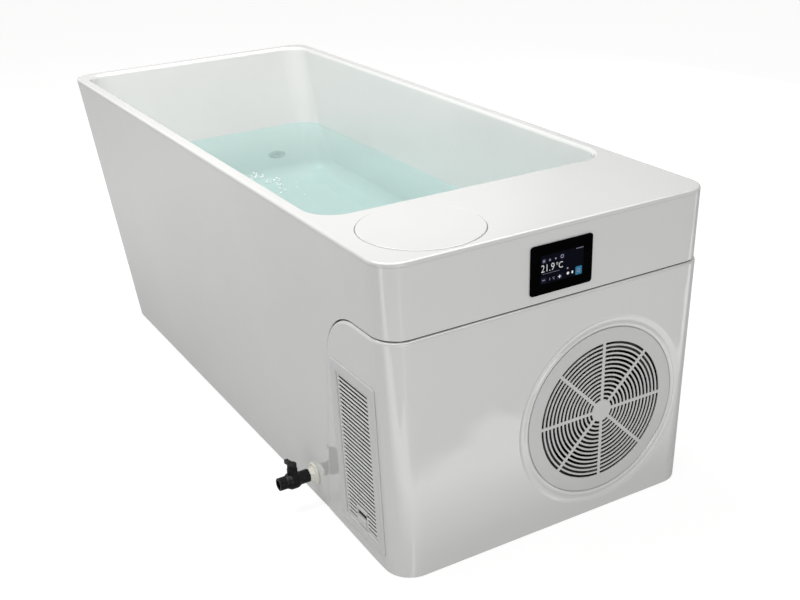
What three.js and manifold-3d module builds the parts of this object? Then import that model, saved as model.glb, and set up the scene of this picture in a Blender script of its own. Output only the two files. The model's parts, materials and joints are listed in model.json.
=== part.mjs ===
// Cold plunge tub with a chiller built into one end, in millimetres, +Z up.
// The origin is on the floor under the middle of the tub. +X points to the chiller end and -Y to
// the side with the louvre and the drain valve.
import * as THREE from 'three';
import { mergeVertices } from 'three/addons/utils/BufferGeometryUtils.js';
import Module from 'manifold-3d';

const wasm = await Module();
wasm.setup();

// Overall body
const LENGTH = 1700;
const WIDTH = 700;
const HEIGHT = 612;
const SHELL_WALL = 6;
const RIM_WIDTH = 28;
const RIM_PLATE = 8;
const EDGE_ROUND = 5;
const CORNER_RADIUS = 50;
const SIDE_DRAFT = 18;
const HEAD_LEAN = 269;
const SKIRT_LIFT = 6;

// Basin
const BASIN_CORNER = 60;
const BASIN_FILLET = 45;
const BASIN_HEAD_LEAN = 250;
const BASIN_SIDE_DRAFT = 45;
const BASIN_FRONT_DRAFT = 20;

// Clearances
const SEAM = 0.3;
const HOLE_GAP = 0.5;
const CUT_OVER = 20;

// Base frame, feet and floor layers
const FOOT_HEIGHT = 49;
const FOOT_PAD_RADIUS = 25;
const FOOT_PAD = 8;
const FOOT_COLLAR_RADIUS = 11;
const FOOT_COLLAR = 7;
const STUD_RADIUS = 6;
const STUD_REACH = 12;
const FOOT_END_INSET = 45;
const TUBE_SIZE = 30;
const TUBE_WALL = 2;
const TUBE_END_GAP = 26;
const RAIL_INSET = 220;
const HEAD_TUBE_INSET = 60;
const BOARD_THICKNESS = 15;
const FLOOR_FOAM = 12;
const SIDE_FOAM = 12;
const FOAM_MARGIN = 10;
const TRAY_THICKNESS = 3;
const TRAY_BACK_GAP = 8;

// Chiller cover and its seam
const APRON_HEIGHT = 140;
const COVER_PROUD = 3;
const COVER_GAP = 3;
const COVER_LIFT = 8;
const COVER_DEPTH = 272;
const COVER_REAR_LEAN = 66;
const COVER_CORNER = 110;
const LIP_WIDTH = 16;
const LIP_THICKNESS = 4;

// Fan grille and the recess it sits in
const GRILLE_SIDE_MARGIN = 50;
const GRILLE_RADIUS = 168;
const GRILLE_THICKNESS = 5;
const GRILLE_GAP = 1.5;
const RECESS_RADIUS = 187;
const RECESS_DEPTH = 8;
const SLOT_FIELD_RADIUS = 139.5;
const GRILLE_HUB_RADIUS = 22.5;
const SLOT_RINGS = 14;
const SLOT_SECTORS = 8;
const SPOKE_WIDTH = 6.5;
const GRILLE_RIB = 3.7;
const AIR_MARGIN = 9;

// Fan, duct and condenser
const FAN_RADIUS = 116;
const TIP_GAP = 6;
const FAN_BLADES = 5;
const BLADE_CHORD = 72;
const BLADE_THICKNESS = 3;
const BLADE_PITCH = 32;
const FAN_HUB_RADIUS = 36;
const FAN_HUB_DEPTH = 32;
const HUB_CHAMFER = 6;
const HUB_WEB = 12;
const ROTOR_SETBACK = 22;
const SHAFT_RADIUS = 4;
const MOTOR_RADIUS = 40;
const MOTOR_LENGTH = 48;
const MOTOR_GAP = 4;
const MOTOR_BRACKET = 4;
const MOTOR_BRACKET_WIDTH = 40;
const DUCT_WALL = 2;
const DUCT_RIM = 6;
const DUCT_MARGIN = 10;
const DUCT_BACK_ROOM = 4;
const CONDENSER_DEPTH = 40;
const CONDENSER_HEADER = 25;
const CONDENSER_SLOTS = 20;
const CONDENSER_FIN = 3;

// Evaporator, compressor and pump
const EVAPORATOR_RADIUS = 42;
const EVAPORATOR_GAP = 12;
const EVAPORATOR_BACK_GAP = 11;
const EVAPORATOR_OFFSET = 95;
const EVAPORATOR_DOME = 10;
const COMPRESSOR_RADIUS = 52;
const COMPRESSOR_HEIGHT = 200;
const COMPRESSOR_DOME = 22;
const COMPRESSOR_SETBACK = 10;
const COMPRESSOR_PAD = 10;
const CHILLER_GAP = 11;
const PUMP_RADIUS = 48;
const PUMP_VOLUTE = 36;
const PUMP_MOTOR_RADIUS = 40;
const PUMP_MOTOR_LENGTH = 90;
const PUMP_STUB = 14;
const PUMP_BRACKET_WIDTH = 50;
const PUMP_BRACKET_LENGTH = 60;

// Filter under the round lid
const LID_RADIUS = 113;
const LID_FRONT_MARGIN = 11;
const LID_REAR_MARGIN = 26;
const LID_SIDE_MARGIN = 38;
const LID_GAP = 1.5;
const LID_PROUD = 1;
const LID_EDGE = 2;
const LID_LEDGE = 10;
const LID_RIB = 4;
const LID_RIB_DEPTH = 5;
const SEAT_DEPTH = 9;
const SEAT_DROP = 6;
const SEAT_WALL = 2.5;
const SEAL_THICKNESS = 2;
const SEAL_WIDTH = 7;
const HOUSING_BORE = 62;
const HOUSING_WALL = 4;
const HOUSING_LAP = 2;
const FILTER_RISE = 75;
const MEDIA_RADIUS = 54;
const PLEAT_DEPTH = 7;
const PLEATS = 24;
const CAP_RADIUS = 57;
const CAP_THICKNESS = 8;
const HANDLE_HEIGHT = 26;
const HANDLE_LENGTH = 60;
const HANDLE_THICKNESS = 8;
const HANDLE_ROOM = 14;

// Touch screen and controls
const SCREEN_WIDTH = 133;
const SCREEN_HEIGHT = 91;
const SCREEN_CORNER = 6;
const SCREEN_THICKNESS = 2.6;
const SCREEN_Y = 6;
const SCREEN_DROP = 76;
const SCREEN_LAP = 8;
const DISPLAY_DEPTH = 28;
const DISPLAY_FLANGE = 6;
const DISPLAY_FLANGE_THICKNESS = 3;
const CONTROL_LENGTH = 150;
const CONTROL_WIDTH = 220;
const CONTROL_HEIGHT = 150;
const CONTROL_Y = 100;
const CONTROL_BACK_GAP = 30;

// Side louvre with a hinged door
const LOUVRE_HEIGHT = 204;
const FRAME_WIDTH = 159;
const FRAME_HEIGHT = 343;
const FRAME_CORNER = 5;
const FRAME_PROUD = 2;
const FRAME_DEPTH = 14;
const DOOR_WIDTH = 116;
const DOOR_HEIGHT = 301;
const DOOR_THICKNESS = 3;
const DOOR_PROUD = 1;
const DOOR_GAP = 0.8;
const SLEEVE_WALL = 2.5;
const LOUVRE_SLOTS = 34;
const LOUVRE_PITCH = 8.64;
const LOUVRE_SLOT = 4.6;
const LOUVRE_SLOT_LENGTH = 105;
const PIN_RADIUS = 1.2;
const PIN_DROP = 5;
const PIN_LENGTH = 2.4;
const LATCH_WIDTH = 32;
const LATCH_HEIGHT = 15;
const LATCH_TRAVEL = 5;
const LATCH_PROUD = 2.5;
const LATCH_SILL = 4;
const NOTCH_SIDE_WALL = 4;
const PAD_THICKNESS = 6;
const PAD_MARGIN = 5;

// Drain valve on its bulkhead fitting
const VALVE_SETBACK = 328;
const VALVE_HEIGHT = 59;
const VALVE_BORE = 8.5;
const BULKHEAD_RADIUS = 23;
const BULKHEAD_FLANGE = 5;
const BULKHEAD_TUBE = 13;
const BULKHEAD_BOSS_RADIUS = 15;
const BULKHEAD_BOSS = 9;
const BULKHEAD_TAIL = 45;
const NIPPLE_RADIUS = 10.5;
const NIPPLE_LENGTH = 11;
const NUT_RADIUS = 21;
const NUT_THICKNESS = 9;
const SOCKET_RADIUS = 13.5;
const SOCKET_LENGTH = 20;
const VALVE_BULGE = 17.5;
const VALVE_BULGE_LENGTH = 27;
const OUTLET_LENGTH = 18;
const OUTLET_RADIUS = 13;
const BALL_RADIUS = 13;
const BALL_FLAT = 11;
const NECK_RADIUS = 10.5;
const NECK_HEIGHT = 28;
const STEM_RADIUS = 6;
const LEVER_HUB_RADIUS = 9.5;
const LEVER_HUB_HEIGHT = 10;
const LEVER_LONG = 29;
const LEVER_SHORT = 12;
const LEVER_THICKNESS = 8;
const LEVER_DROP = 4;
const GLAND_RADIUS = 16;
const GLAND_FLANGE = 8;
const GLAND_DOME = 17;

// Basin fittings and pipes
const FITTING_RADIUS = 26;
const FITTING_FLANGE = 6;
const FITTING_TAIL_RADIUS = 13;
const FITTING_BORE = 9;
const SUCTION_TAIL = 22;
const SUCTION_MARGIN = 12;
const JET_Y = 145;
const JET_HEIGHT = 225;
const JET_TAIL = 27;
const JET_OFFSET = 17;
const JET_END_WALL = 4;
const DRAIN_MARGIN = 50;
const DRAIN_RAIL_GAP = 22;
const DRAIN_TAIL_DROP = 2;
const DRAIN_LEAD = 45;
const HOSE_RADIUS = 10;
const STUB_LENGTH = 16;
const RETURN_RADIUS = 9;
const RETURN_INSET = 15;
const RETURN_STEP_OUT = 30;
const HOSE_BEND = 24;
const DRAIN_BEND = 15;
const COPPER_RADIUS = 4;
const COPPER_BEND = 10;
const COPPER_RISE = 32;
const PORT_SPACING = 13;
const LIQUID_HEIGHT = 14;
const LIQUID_OFFSET = 60;

// Facets
const CORNER_STEPS = 6;
const FILLET_STEPS = 3;
const ROUND_STEPS = 20;
const WIDE_STEPS = 40;
const SMALL_STEPS = 12;
const BALL_RINGS = 8;
const PIPE_SIDES = 8;
const BEND_STEPS = 4;
const HEX_SIDES = 6;

// Heights of the stack from the floor up
const FRONT = LENGTH / 2;
const HEAD = -LENGTH / 2;
const rimUnder = HEIGHT - RIM_PLATE;
const frameTop = FOOT_HEIGHT + TUBE_SIZE;
const boardTop = frameTop + SEAM + BOARD_THICKNESS;
const foamTop = boardTop + SEAM + FLOOR_FOAM;
const basinUnder = foamTop + SEAM;
const basinFloor = basinUnder + SHELL_WALL;
const basinDepth = HEIGHT - basinFloor;
const trayTop = frameTop + SEAM + TRAY_THICKNESS;
const parting = HEIGHT - APRON_HEIGHT;

// Chiller stack from the cover face back to the basin wall, which sets the deck length
const coverFace = FRONT + COVER_PROUD;
const grilleY = WIDTH / 2 - GRILLE_SIDE_MARGIN - RECESS_RADIUS;
const fanHole = FAN_RADIUS + TIP_GAP;
const ductHalf = fanHole + DUCT_RIM;
const ductBottom = trayTop + SEAM;
const grilleZ = ductBottom + DUCT_WALL + DUCT_MARGIN + fanHole;
const ductTop = grilleZ + ductHalf;
const hubHalf = FAN_HUB_DEPTH / 2;
const ductDepth = ROTOR_SETBACK + hubHalf + MOTOR_GAP + MOTOR_LENGTH + SEAM + MOTOR_BRACKET + DUCT_BACK_ROOM;
const ductFront = coverFace - RECESS_DEPTH - SHELL_WALL - SEAM;
const ductBack = ductFront - ductDepth;
const condenserBack = ductBack - SEAM - CONDENSER_DEPTH;
const evaporatorX = condenserBack - EVAPORATOR_GAP - EVAPORATOR_RADIUS;
const evaporatorY = grilleY + EVAPORATOR_OFFSET;
const chillerBack = evaporatorX - EVAPORATOR_RADIUS - EVAPORATOR_BACK_GAP;
const lidDeck = LID_FRONT_MARGIN + 2 * LID_RADIUS + LID_REAR_MARGIN;
const deckLength = Math.max(FRONT - chillerBack + SHELL_WALL, lidDeck);
const deckBack = FRONT - deckLength;
const compressorX = condenserBack - COMPRESSOR_SETBACK;
const compressorY = grilleY - ductHalf - CHILLER_GAP - COMPRESSOR_RADIUS;
const compressorBottom = trayTop + SEAM + COMPRESSOR_PAD + SEAM;
const compressorTop = compressorBottom + COMPRESSOR_HEIGHT;
const pumpY = compressorY - COMPRESSOR_RADIUS - CHILLER_GAP - PUMP_RADIUS;
const pumpZ = basinFloor + BASIN_FILLET + FITTING_RADIUS + SUCTION_MARGIN;
const pumpTop = pumpZ + PUMP_RADIUS + PUMP_STUB;

// Filter stack from the deck down to the pump
const lidX = FRONT - LID_FRONT_MARGIN - LID_RADIUS;
const pumpX = lidX - PUMP_STUB - PUMP_VOLUTE / 2;
const lidY = -(WIDTH / 2 - LID_SIDE_MARGIN - LID_RADIUS);
const ledgeTop = HEIGHT - SEAT_DEPTH;
const ledgeUnder = rimUnder - SEAT_DROP;
const lidUnder = ledgeTop + SEAL_THICKNESS + 2 * SEAM;
const lidBore = LID_RADIUS - LID_LEDGE;
const housingTop = ledgeUnder - SEAM;
const housingPort = pumpTop + FILTER_RISE;
const housingUnder = housingPort + STUB_LENGTH;
const housingFloor = housingUnder + HOUSING_WALL;
const handleTop = lidUnder - LID_RIB_DEPTH - HANDLE_ROOM;
const capTop = handleTop - HANDLE_HEIGHT;
const controlUnder = rimUnder - SEAM - CONTROL_HEIGHT;
const filterPortZ = controlUnder - CHILLER_GAP - HOSE_RADIUS;
const filterPortY = lidY + HOUSING_BORE + HOUSING_WALL + STUB_LENGTH;

// Plan sizes of the base
const tubeHalf = WIDTH / 2 - SIDE_DRAFT - SHELL_WALL - TUBE_END_GAP;
const floorHead = HEAD + RIM_WIDTH + BASIN_HEAD_LEAN + BASIN_FILLET;
const floorFront = deckBack - BASIN_FRONT_DRAFT - BASIN_FILLET;
const floorHalf = WIDTH / 2 - RIM_WIDTH - BASIN_SIDE_DRAFT - BASIN_FILLET;
const headTubeX = floorHead + HEAD_TUBE_INSET;
const trayBack = deckBack + SHELL_WALL + TRAY_BACK_GAP;
const frontTubeX = (trayBack + ductFront) / 2;
const railY = WIDTH / 2 - RAIL_INSET;
const drainX = floorFront - DRAIN_MARGIN;
const drainY = -(railY + TUBE_SIZE / 2 + FITTING_TAIL_RADIUS + DRAIN_RAIL_GAP);
const valveX = FRONT - VALVE_SETBACK;
const coverRearBase = FRONT - COVER_DEPTH;
const draftAngle = Math.atan(SIDE_DRAFT / HEIGHT);
const QUARTER = Math.PI / 2;

// Half width of the outer skirt at a height, and of the basin cavity
const skirtHalf = (z) => WIDTH / 2 - SIDE_DRAFT * (HEIGHT - z) / HEIGHT;
const depthShare = (z) => (HEIGHT - z) / basinDepth;
const basinHeadX = (z) => HEAD + RIM_WIDTH + BASIN_HEAD_LEAN * depthShare(z);
const basinFrontX = (z) => deckBack - BASIN_FRONT_DRAFT * depthShare(z);
const basinHalf = (z) => WIDTH / 2 - RIM_WIDTH - BASIN_SIDE_DRAFT * depthShare(z);

// Finishes
const finish = (color, roughness, metalness) =>
  new THREE.MeshStandardMaterial({ color, roughness, metalness });
const ACRYLIC = finish(0xeeeeec, 0.15, 0);
const GREY_PLASTIC = finish(0xb9bab8, 0.45, 0);
const BLACK_PLASTIC = finish(0x101012, 0.4, 0);
const OFF_WHITE_PLASTIC = finish(0xe6e4d8, 0.4, 0);
const SCREEN_GLASS = finish(0x0a0c10, 0.08, 0);
const RUBBER = finish(0x202022, 0.9, 0);
const STEEL = finish(0xa8abad, 0.4, 1);
const PAINTED_STEEL = finish(0x2a2c2e, 0.5, 0.2);
const ALUMINIUM = finish(0xc4c7ca, 0.35, 1);
const COPPER = finish(0xb87345, 0.3, 1);
const FOAM = finish(0xe8dcae, 0.95, 0);
const PLYWOOD = finish(0xc09a68, 0.8, 0);
const FILTER_PAPER = finish(0xe9eef2, 0.9, 0);
const HOSE_PLASTIC = finish(0xd6d8d8, 0.5, 0);

const tub = new THREE.Group();

function add(name, geometry, material, parent = tub) {
  const mesh = new THREE.Mesh(geometry, material);
  mesh.name = name;
  parent.add(mesh);
  return mesh;
}

// Keep positions only, share equal vertices and drop triangles that have no area
function clean(geometry) {
  const bare = geometry.clone();
  bare.deleteAttribute('normal');
  bare.deleteAttribute('uv');
  const merged = mergeVertices(bare);
  const index = Array.from(merged.index.array);
  const kept = [];
  for (let i = 0; i < index.length; i += 3) {
    const [a, b, c] = index.slice(i, i + 3);
    if (a !== b && b !== c && c !== a) {
      kept.push(a, b, c);
    }
  }
  merged.setIndex(kept);
  return merged;
}

function toSolid(geometry) {
  const closed = clean(geometry);
  const vertProperties = new Float32Array(closed.attributes.position.array);
  const triVerts = new Uint32Array(closed.index.array);
  return new wasm.Manifold(new wasm.Mesh({ numProp: 3, vertProperties, triVerts }));
}

function toGeometry(solid) {
  const mesh = solid.getMesh();
  const geometry = new THREE.BufferGeometry();
  geometry.setAttribute('position', new THREE.BufferAttribute(mesh.vertProperties, 3));
  geometry.setIndex(new THREE.BufferAttribute(mesh.triVerts, 1));
  return geometry;
}

const combine = (pieces, step) => toGeometry(pieces.map(toSolid).reduce(step));
const join = (...pieces) => combine(pieces, (whole, piece) => whole.add(piece));
const cut = (...pieces) => combine(pieces, (whole, piece) => whole.subtract(piece));
const common = (...pieces) => combine(pieces, (whole, piece) => whole.intersect(piece));

function box(x0, x1, y0, y1, z0, z1) {
  const geometry = new THREE.BoxGeometry(x1 - x0, y1 - y0, z1 - z0);
  return geometry.translate((x0 + x1) / 2, (y0 + y1) / 2, (z0 + z1) / 2);
}

// A profile of [radius, height] pairs turned round +Z. A ring's profile is closed, a solid's starts
// and ends on the axis.
function turned(profile, steps = ROUND_STEPS) {
  const onAxis = profile[0][0] === 0;
  const loop = onAxis ? profile : [...profile, profile[0]];
  const points = loop.map(([radius, height]) => new THREE.Vector2(radius, height));
  const ordered = THREE.ShapeUtils.area(points) < 0 ? points.reverse() : points;
  return clean(new THREE.LatheGeometry(ordered, steps).rotateX(QUARTER));
}

const rod = (radius, z0, z1, steps) => turned([[0, z0], [radius, z0], [radius, z1], [0, z1]], steps);

// Turn a shape made round +Z to lie along another axis
const alongX = (geometry) => geometry.rotateY(QUARTER);
const outNear = (geometry) => geometry.rotateX(QUARTER);
const outFar = (geometry) => geometry.rotateX(-QUARTER);

// A skin through matching convex outlines, closed at both ends
function loft(outlines) {
  const count = outlines[0].length;
  const last = (outlines.length - 1) * count;
  const positions = outlines.flat().flatMap((point) => point.toArray());
  const index = [];
  for (let section = 0; section < last; section += count) {
    for (let i = 0; i < count; i += 1) {
      const a = section + i;
      const b = section + (i + 1) % count;
      index.push(a, b, b + count, a, b + count, a + count);
    }
  }
  for (let i = 1; i < count - 1; i += 1) {
    index.push(0, i + 1, i, last, last + i, last + i + 1);
  }
  const geometry = new THREE.BufferGeometry();
  geometry.setAttribute('position', new THREE.Float32BufferAttribute(positions, 3));
  geometry.setIndex(index);
  return geometry;
}

// A level rounded rectangle, anticlockwise from above
function roundedOutline(xMin, xMax, half, radius, z) {
  const corners = [
    [xMax - radius, half - radius],
    [xMin + radius, half - radius],
    [xMin + radius, radius - half],
    [xMax - radius, radius - half],
  ];
  return corners.flatMap(([x, y], quarter) => Array.from({ length: CORNER_STEPS + 1 }, (unused, step) => {
    const angle = QUARTER * (quarter + step / CORNER_STEPS);
    return new THREE.Vector3(x + radius * Math.cos(angle), y + radius * Math.sin(angle), z);
  }));
}

function roundedShape(width, height, radius) {
  const x = width / 2 - radius;
  const y = height / 2 - radius;
  const shape = new THREE.Shape();
  shape.absarc(x, y, radius, 0, QUARTER);
  shape.absarc(-x, y, radius, QUARTER, 2 * QUARTER);
  shape.absarc(-x, -y, radius, 2 * QUARTER, 3 * QUARTER);
  shape.absarc(x, -y, radius, 3 * QUARTER, 4 * QUARTER);
  shape.closePath();
  return shape;
}

function rectanglePath(width, height, x = 0, y = 0) {
  const right = x + width / 2;
  const top = y + height / 2;
  return new THREE.Path([
    new THREE.Vector2(x - width / 2, y - height / 2),
    new THREE.Vector2(right, y - height / 2),
    new THREE.Vector2(right, top),
    new THREE.Vector2(x - width / 2, top),
    new THREE.Vector2(x - width / 2, y - height / 2),
  ]);
}

const extrude = (shape, depth, curveSegments = 2) =>
  new THREE.ExtrudeGeometry(shape, { depth, curveSegments, bevelEnabled: false });

// A shape drawn in X and Z, as thick as the stretch from y0 to y1
const uprightPlate = (shape, y0, y1) => extrude(shape, y1 - y0).rotateX(QUARTER).translate(0, y1, 0);

// A shape drawn in Y and Z, as thick as the stretch from x0 to x1
const facingPlate = (shape, x0, x1) => uprightPlate(shape, x0 - x1, 0).rotateZ(QUARTER).translate(x0, 0, 0);

function outlineShape(points) {
  return new THREE.Shape(points.map(([x, y]) => new THREE.Vector2(x, y)));
}

// A solid pipe along straight runs joined by bends
function pipe(route, radius, bend) {
  const points = route.map((point) => new THREE.Vector3(...point));
  const stations = [];
  points.forEach((point, i) => {
    const inward = i > 0 ? point.clone().sub(points[i - 1]).normalize() : null;
    const outward = i < points.length - 1 ? points[i + 1].clone().sub(point).normalize() : null;
    if (!inward || !outward) {
      stations.push({ point, tangent: inward || outward });
      return;
    }
    const trim = bend * Math.tan(inward.angleTo(outward) / 2);
    const start = point.clone().addScaledVector(inward, -trim);
    const end = point.clone().addScaledVector(outward, trim);
    const curve = new THREE.QuadraticBezierCurve3(start, point, end);
    for (let step = 0; step <= BEND_STEPS; step += 1) {
      const share = step / BEND_STEPS;
      stations.push({ point: curve.getPoint(share), tangent: curve.getTangent(share) });
    }
  });
  let before = stations[0].tangent;
  const steep = Math.abs(before.z) > Math.abs(before.x) + Math.abs(before.y);
  const across = steep ? new THREE.Vector3(1, 0, 0) : new THREE.Vector3(0, 0, 1);
  const normal = across.cross(before).normalize();
  return loft(stations.map(({ point, tangent }) => {
    normal.applyQuaternion(new THREE.Quaternion().setFromUnitVectors(before, tangent));
    before = tangent;
    const side = tangent.clone().cross(normal);
    return Array.from({ length: PIPE_SIDES }, (unused, i) => {
      const angle = 4 * QUARTER * i / PIPE_SIDES;
      const spoke = normal.clone().multiplyScalar(Math.cos(angle)).addScaledVector(side, Math.sin(angle));
      return point.clone().addScaledVector(spoke, radius);
    });
  }));
}

// Outer form of the tub, drawn in from its faces by an inset
function bodyOutline(z, inset) {
  const head = HEAD + HEAD_LEAN * (HEIGHT - z) / HEIGHT + inset;
  return roundedOutline(head, FRONT - inset, skirtHalf(z) - inset, CORNER_RADIUS - inset, z);
}

const body = (z0, z1, inset) => loft([bodyOutline(z0, inset), bodyOutline(z1, inset)]);
const bodyShell = (z0, z1, outer, inner) =>
  cut(body(z0, z1, outer), body(z0 - CUT_OVER, z1 + CUT_OVER, inner));

// Side view of the cover, grown by an offset, as a block right across the tub
function coverBlock(grow) {
  const slant = Math.hypot(COVER_REAR_LEAN, parting);
  const centreZ = parting - COVER_CORNER;
  const centreX = coverRearBase + (COVER_CORNER * slant + centreZ * COVER_REAR_LEAN) / parting;
  const low = -CUT_OVER;
  const far = FRONT + WIDTH;
  const shape = new THREE.Shape();
  shape.moveTo(far, low);
  shape.lineTo(coverRearBase + (low * COVER_REAR_LEAN - grow * slant) / parting, low);
  const rearAngle = Math.atan2(COVER_REAR_LEAN, -parting);
  shape.absarc(centreX, centreZ, COVER_CORNER + grow, rearAngle, QUARTER, true);
  shape.lineTo(far, parting + grow);
  shape.closePath();
  return extrude(shape, 2 * WIDTH, CORNER_STEPS / 2).rotateX(QUARTER).translate(0, WIDTH, 0);
}

// Basin cavity, or with a wall its outer side. The floor edge is rounded.
function basinForm(wall, top) {
  const round = BASIN_FILLET + wall;
  const outlines = [];
  const outline = (z, inset) => roundedOutline(
    basinHeadX(z) - wall + inset,
    basinFrontX(z) + wall - inset,
    basinHalf(z) + wall - inset,
    BASIN_CORNER + wall,
    z,
  );
  for (let step = 0; step <= FILLET_STEPS; step += 1) {
    const angle = QUARTER * step / FILLET_STEPS;
    outlines.push(outline(basinFloor - wall + round * (1 - Math.cos(angle)), round * (1 - Math.sin(angle))));
  }
  outlines.push(outline(top, 0));
  return loft(outlines);
}

// A frame at a point of a wall, its +Z along the direction that the wall faces
function wallFrame(point, facing) {
  const turn = new THREE.Quaternion().setFromUnitVectors(new THREE.Vector3(0, 0, 1), facing);
  return new THREE.Matrix4().compose(point, turn, new THREE.Vector3(1, 1, 1));
}

const headTilt = Math.atan(BASIN_HEAD_LEAN / basinDepth);
const frontTilt = Math.atan(BASIN_FRONT_DRAFT / basinDepth);
const jetFacing = new THREE.Vector3(Math.cos(headTilt), 0, Math.sin(headTilt));
const jetPoint = new THREE.Vector3(basinHeadX(JET_HEIGHT), JET_Y, JET_HEIGHT);
const jetFrame = wallFrame(jetPoint, jetFacing);
const suctionFacing = new THREE.Vector3(-Math.cos(frontTilt), 0, Math.sin(frontTilt));
const suctionTail = SHELL_WALL + SUCTION_TAIL;
const suctionZ = pumpZ + suctionTail * Math.sin(frontTilt);
const suctionY = -(basinHalf(suctionZ) - BASIN_CORNER - FITTING_RADIUS - SUCTION_MARGIN);
const suctionPoint = new THREE.Vector3(basinFrontX(suctionZ), suctionY, suctionZ);
const suctionFrame = wallFrame(suctionPoint, suctionFacing);
const drainFrame = wallFrame(new THREE.Vector3(drainX, drainY, basinFloor), new THREE.Vector3(0, 0, 1));
const drainTail = basinFloor - frameTop + DRAIN_TAIL_DROP;

// Basin, rim and deck in one moulding
function basinShell() {
  const plate = loft([
    bodyOutline(rimUnder, 0),
    bodyOutline(HEIGHT - EDGE_ROUND, 0),
    bodyOutline(HEIGHT - EDGE_ROUND / 3, EDGE_ROUND / 3),
    bodyOutline(HEIGHT, EDGE_ROUND),
  ]);
  const seatRadius = LID_RADIUS + LID_GAP;
  const underLid = (radius, z0, z1) => rod(radius, z0, z1, WIDE_STEPS).translate(lidX, lidY, 0);
  const seat = underLid(seatRadius + SEAT_WALL, ledgeUnder, rimUnder + RIM_PLATE / 2);
  const recess = underLid(seatRadius, ledgeTop, HEIGHT + CUT_OVER);
  const hole = underLid(lidBore, ledgeUnder - CUT_OVER, HEIGHT);
  const tailHole = () => rod(FITTING_TAIL_RADIUS + HOLE_GAP, -CUT_OVER, CUT_OVER, SMALL_STEPS);
  return cut(
    join(plate, seat, basinForm(SHELL_WALL, rimUnder + RIM_PLATE / 2)),
    basinForm(0, HEIGHT + CUT_OVER),
    recess,
    hole,
    tailHole().applyMatrix4(jetFrame),
    tailHole().applyMatrix4(suctionFrame),
    tailHole().applyMatrix4(drainFrame),
  );
}

const recessBoss = (radius) =>
  alongX(rod(radius, 0, RECESS_DEPTH + SHELL_WALL / 2, WIDE_STEPS))
    .translate(coverFace - RECESS_DEPTH - SHELL_WALL, grilleY, grilleZ);

// Room behind the apron for the flange of the display
const displayWidth = SCREEN_WIDTH - 2 * SCREEN_LAP - 2 * HOLE_GAP;
const displayHeight = SCREEN_HEIGHT - 2 * SCREEN_LAP - 2 * HOLE_GAP;
const screenZ = HEIGHT - SCREEN_DROP;
const apronInner = FRONT - SHELL_WALL;

function displayFlange(gap, x0, x1) {
  const half = displayWidth / 2 + DISPLAY_FLANGE + gap;
  const rise = displayHeight / 2 + DISPLAY_FLANGE + gap;
  return box(x0, x1, SCREEN_Y - half, SCREEN_Y + half, screenZ - rise, screenZ + rise);
}

// Skirt with the apron band, and a lip behind the seam that the cover laps
function outerSkirt() {
  const top = rimUnder - SEAM;
  const lipOuter = SHELL_WALL - COVER_PROUD + SEAM;
  const lipShell = bodyShell(SKIRT_LIFT, top, lipOuter, lipOuter + LIP_THICKNESS);
  const lip = common(lipShell, cut(coverBlock(LIP_WIDTH), coverBlock(-LIP_WIDTH)));
  const panel = cut(bodyShell(SKIRT_LIFT, top, 0, SHELL_WALL), coverBlock(COVER_GAP));
  const sideHole = () => rod(BULKHEAD_TUBE + HOLE_GAP, 0, WIDTH);
  const screenHole = facingPlate(
    roundedShape(SCREEN_WIDTH - 2 * SCREEN_LAP, SCREEN_HEIGHT - 2 * SCREEN_LAP, SCREEN_CORNER / 2),
    apronInner - CUT_OVER,
    FRONT + CUT_OVER,
  ).translate(0, SCREEN_Y, screenZ);
  return cut(
    join(panel, lip),
    outNear(sideHole()).translate(valveX, 0, VALVE_HEIGHT),
    outFar(sideHole()).translate(valveX, 0, VALVE_HEIGHT),
    screenHole,
    displayFlange(HOLE_GAP, apronInner - CUT_OVER, apronInner),
    recessBoss(RECESS_RADIUS + SHELL_WALL + HOLE_GAP),
  );
}

// Cover round the chiller with the dished recess, its air hole and the louvre opening
function chillerCover() {
  const shell = bodyShell(COVER_LIFT, parting + CUT_OVER, -COVER_PROUD, SHELL_WALL - COVER_PROUD);
  const boss = common(recessBoss(RECESS_RADIUS + SHELL_WALL), body(COVER_LIFT, parting, -COVER_PROUD));
  const seatRadius = GRILLE_RADIUS + GRILLE_GAP;
  const dish = turned([
    [0, 0],
    [seatRadius, 0],
    [RECESS_RADIUS, RECESS_DEPTH],
    [RECESS_RADIUS, RECESS_DEPTH + CUT_OVER],
    [0, RECESS_DEPTH + CUT_OVER],
  ], WIDE_STEPS);
  const airHole = rod(SLOT_FIELD_RADIUS + AIR_MARGIN, -CUT_OVER, CUT_OVER, WIDE_STEPS);
  const recessFloor = coverFace - RECESS_DEPTH;
  const halfWidth = DOOR_WIDTH / 2 + DOOR_GAP + SLEEVE_WALL + HOLE_GAP;
  const halfHeight = DOOR_HEIGHT / 2 + DOOR_GAP + SLEEVE_WALL + HOLE_GAP;
  const opening = box(-halfWidth, halfWidth, -CUT_OVER, CUT_OVER, -halfHeight, halfHeight);
  louvre.updateMatrix();
  return cut(
    join(common(shell, coverBlock(0)), boss),
    alongX(dish).translate(recessFloor, grilleY, grilleZ),
    alongX(airHole).translate(recessFloor, grilleY, grilleZ),
    opening.applyMatrix4(louvre.matrix),
  );
}

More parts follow.
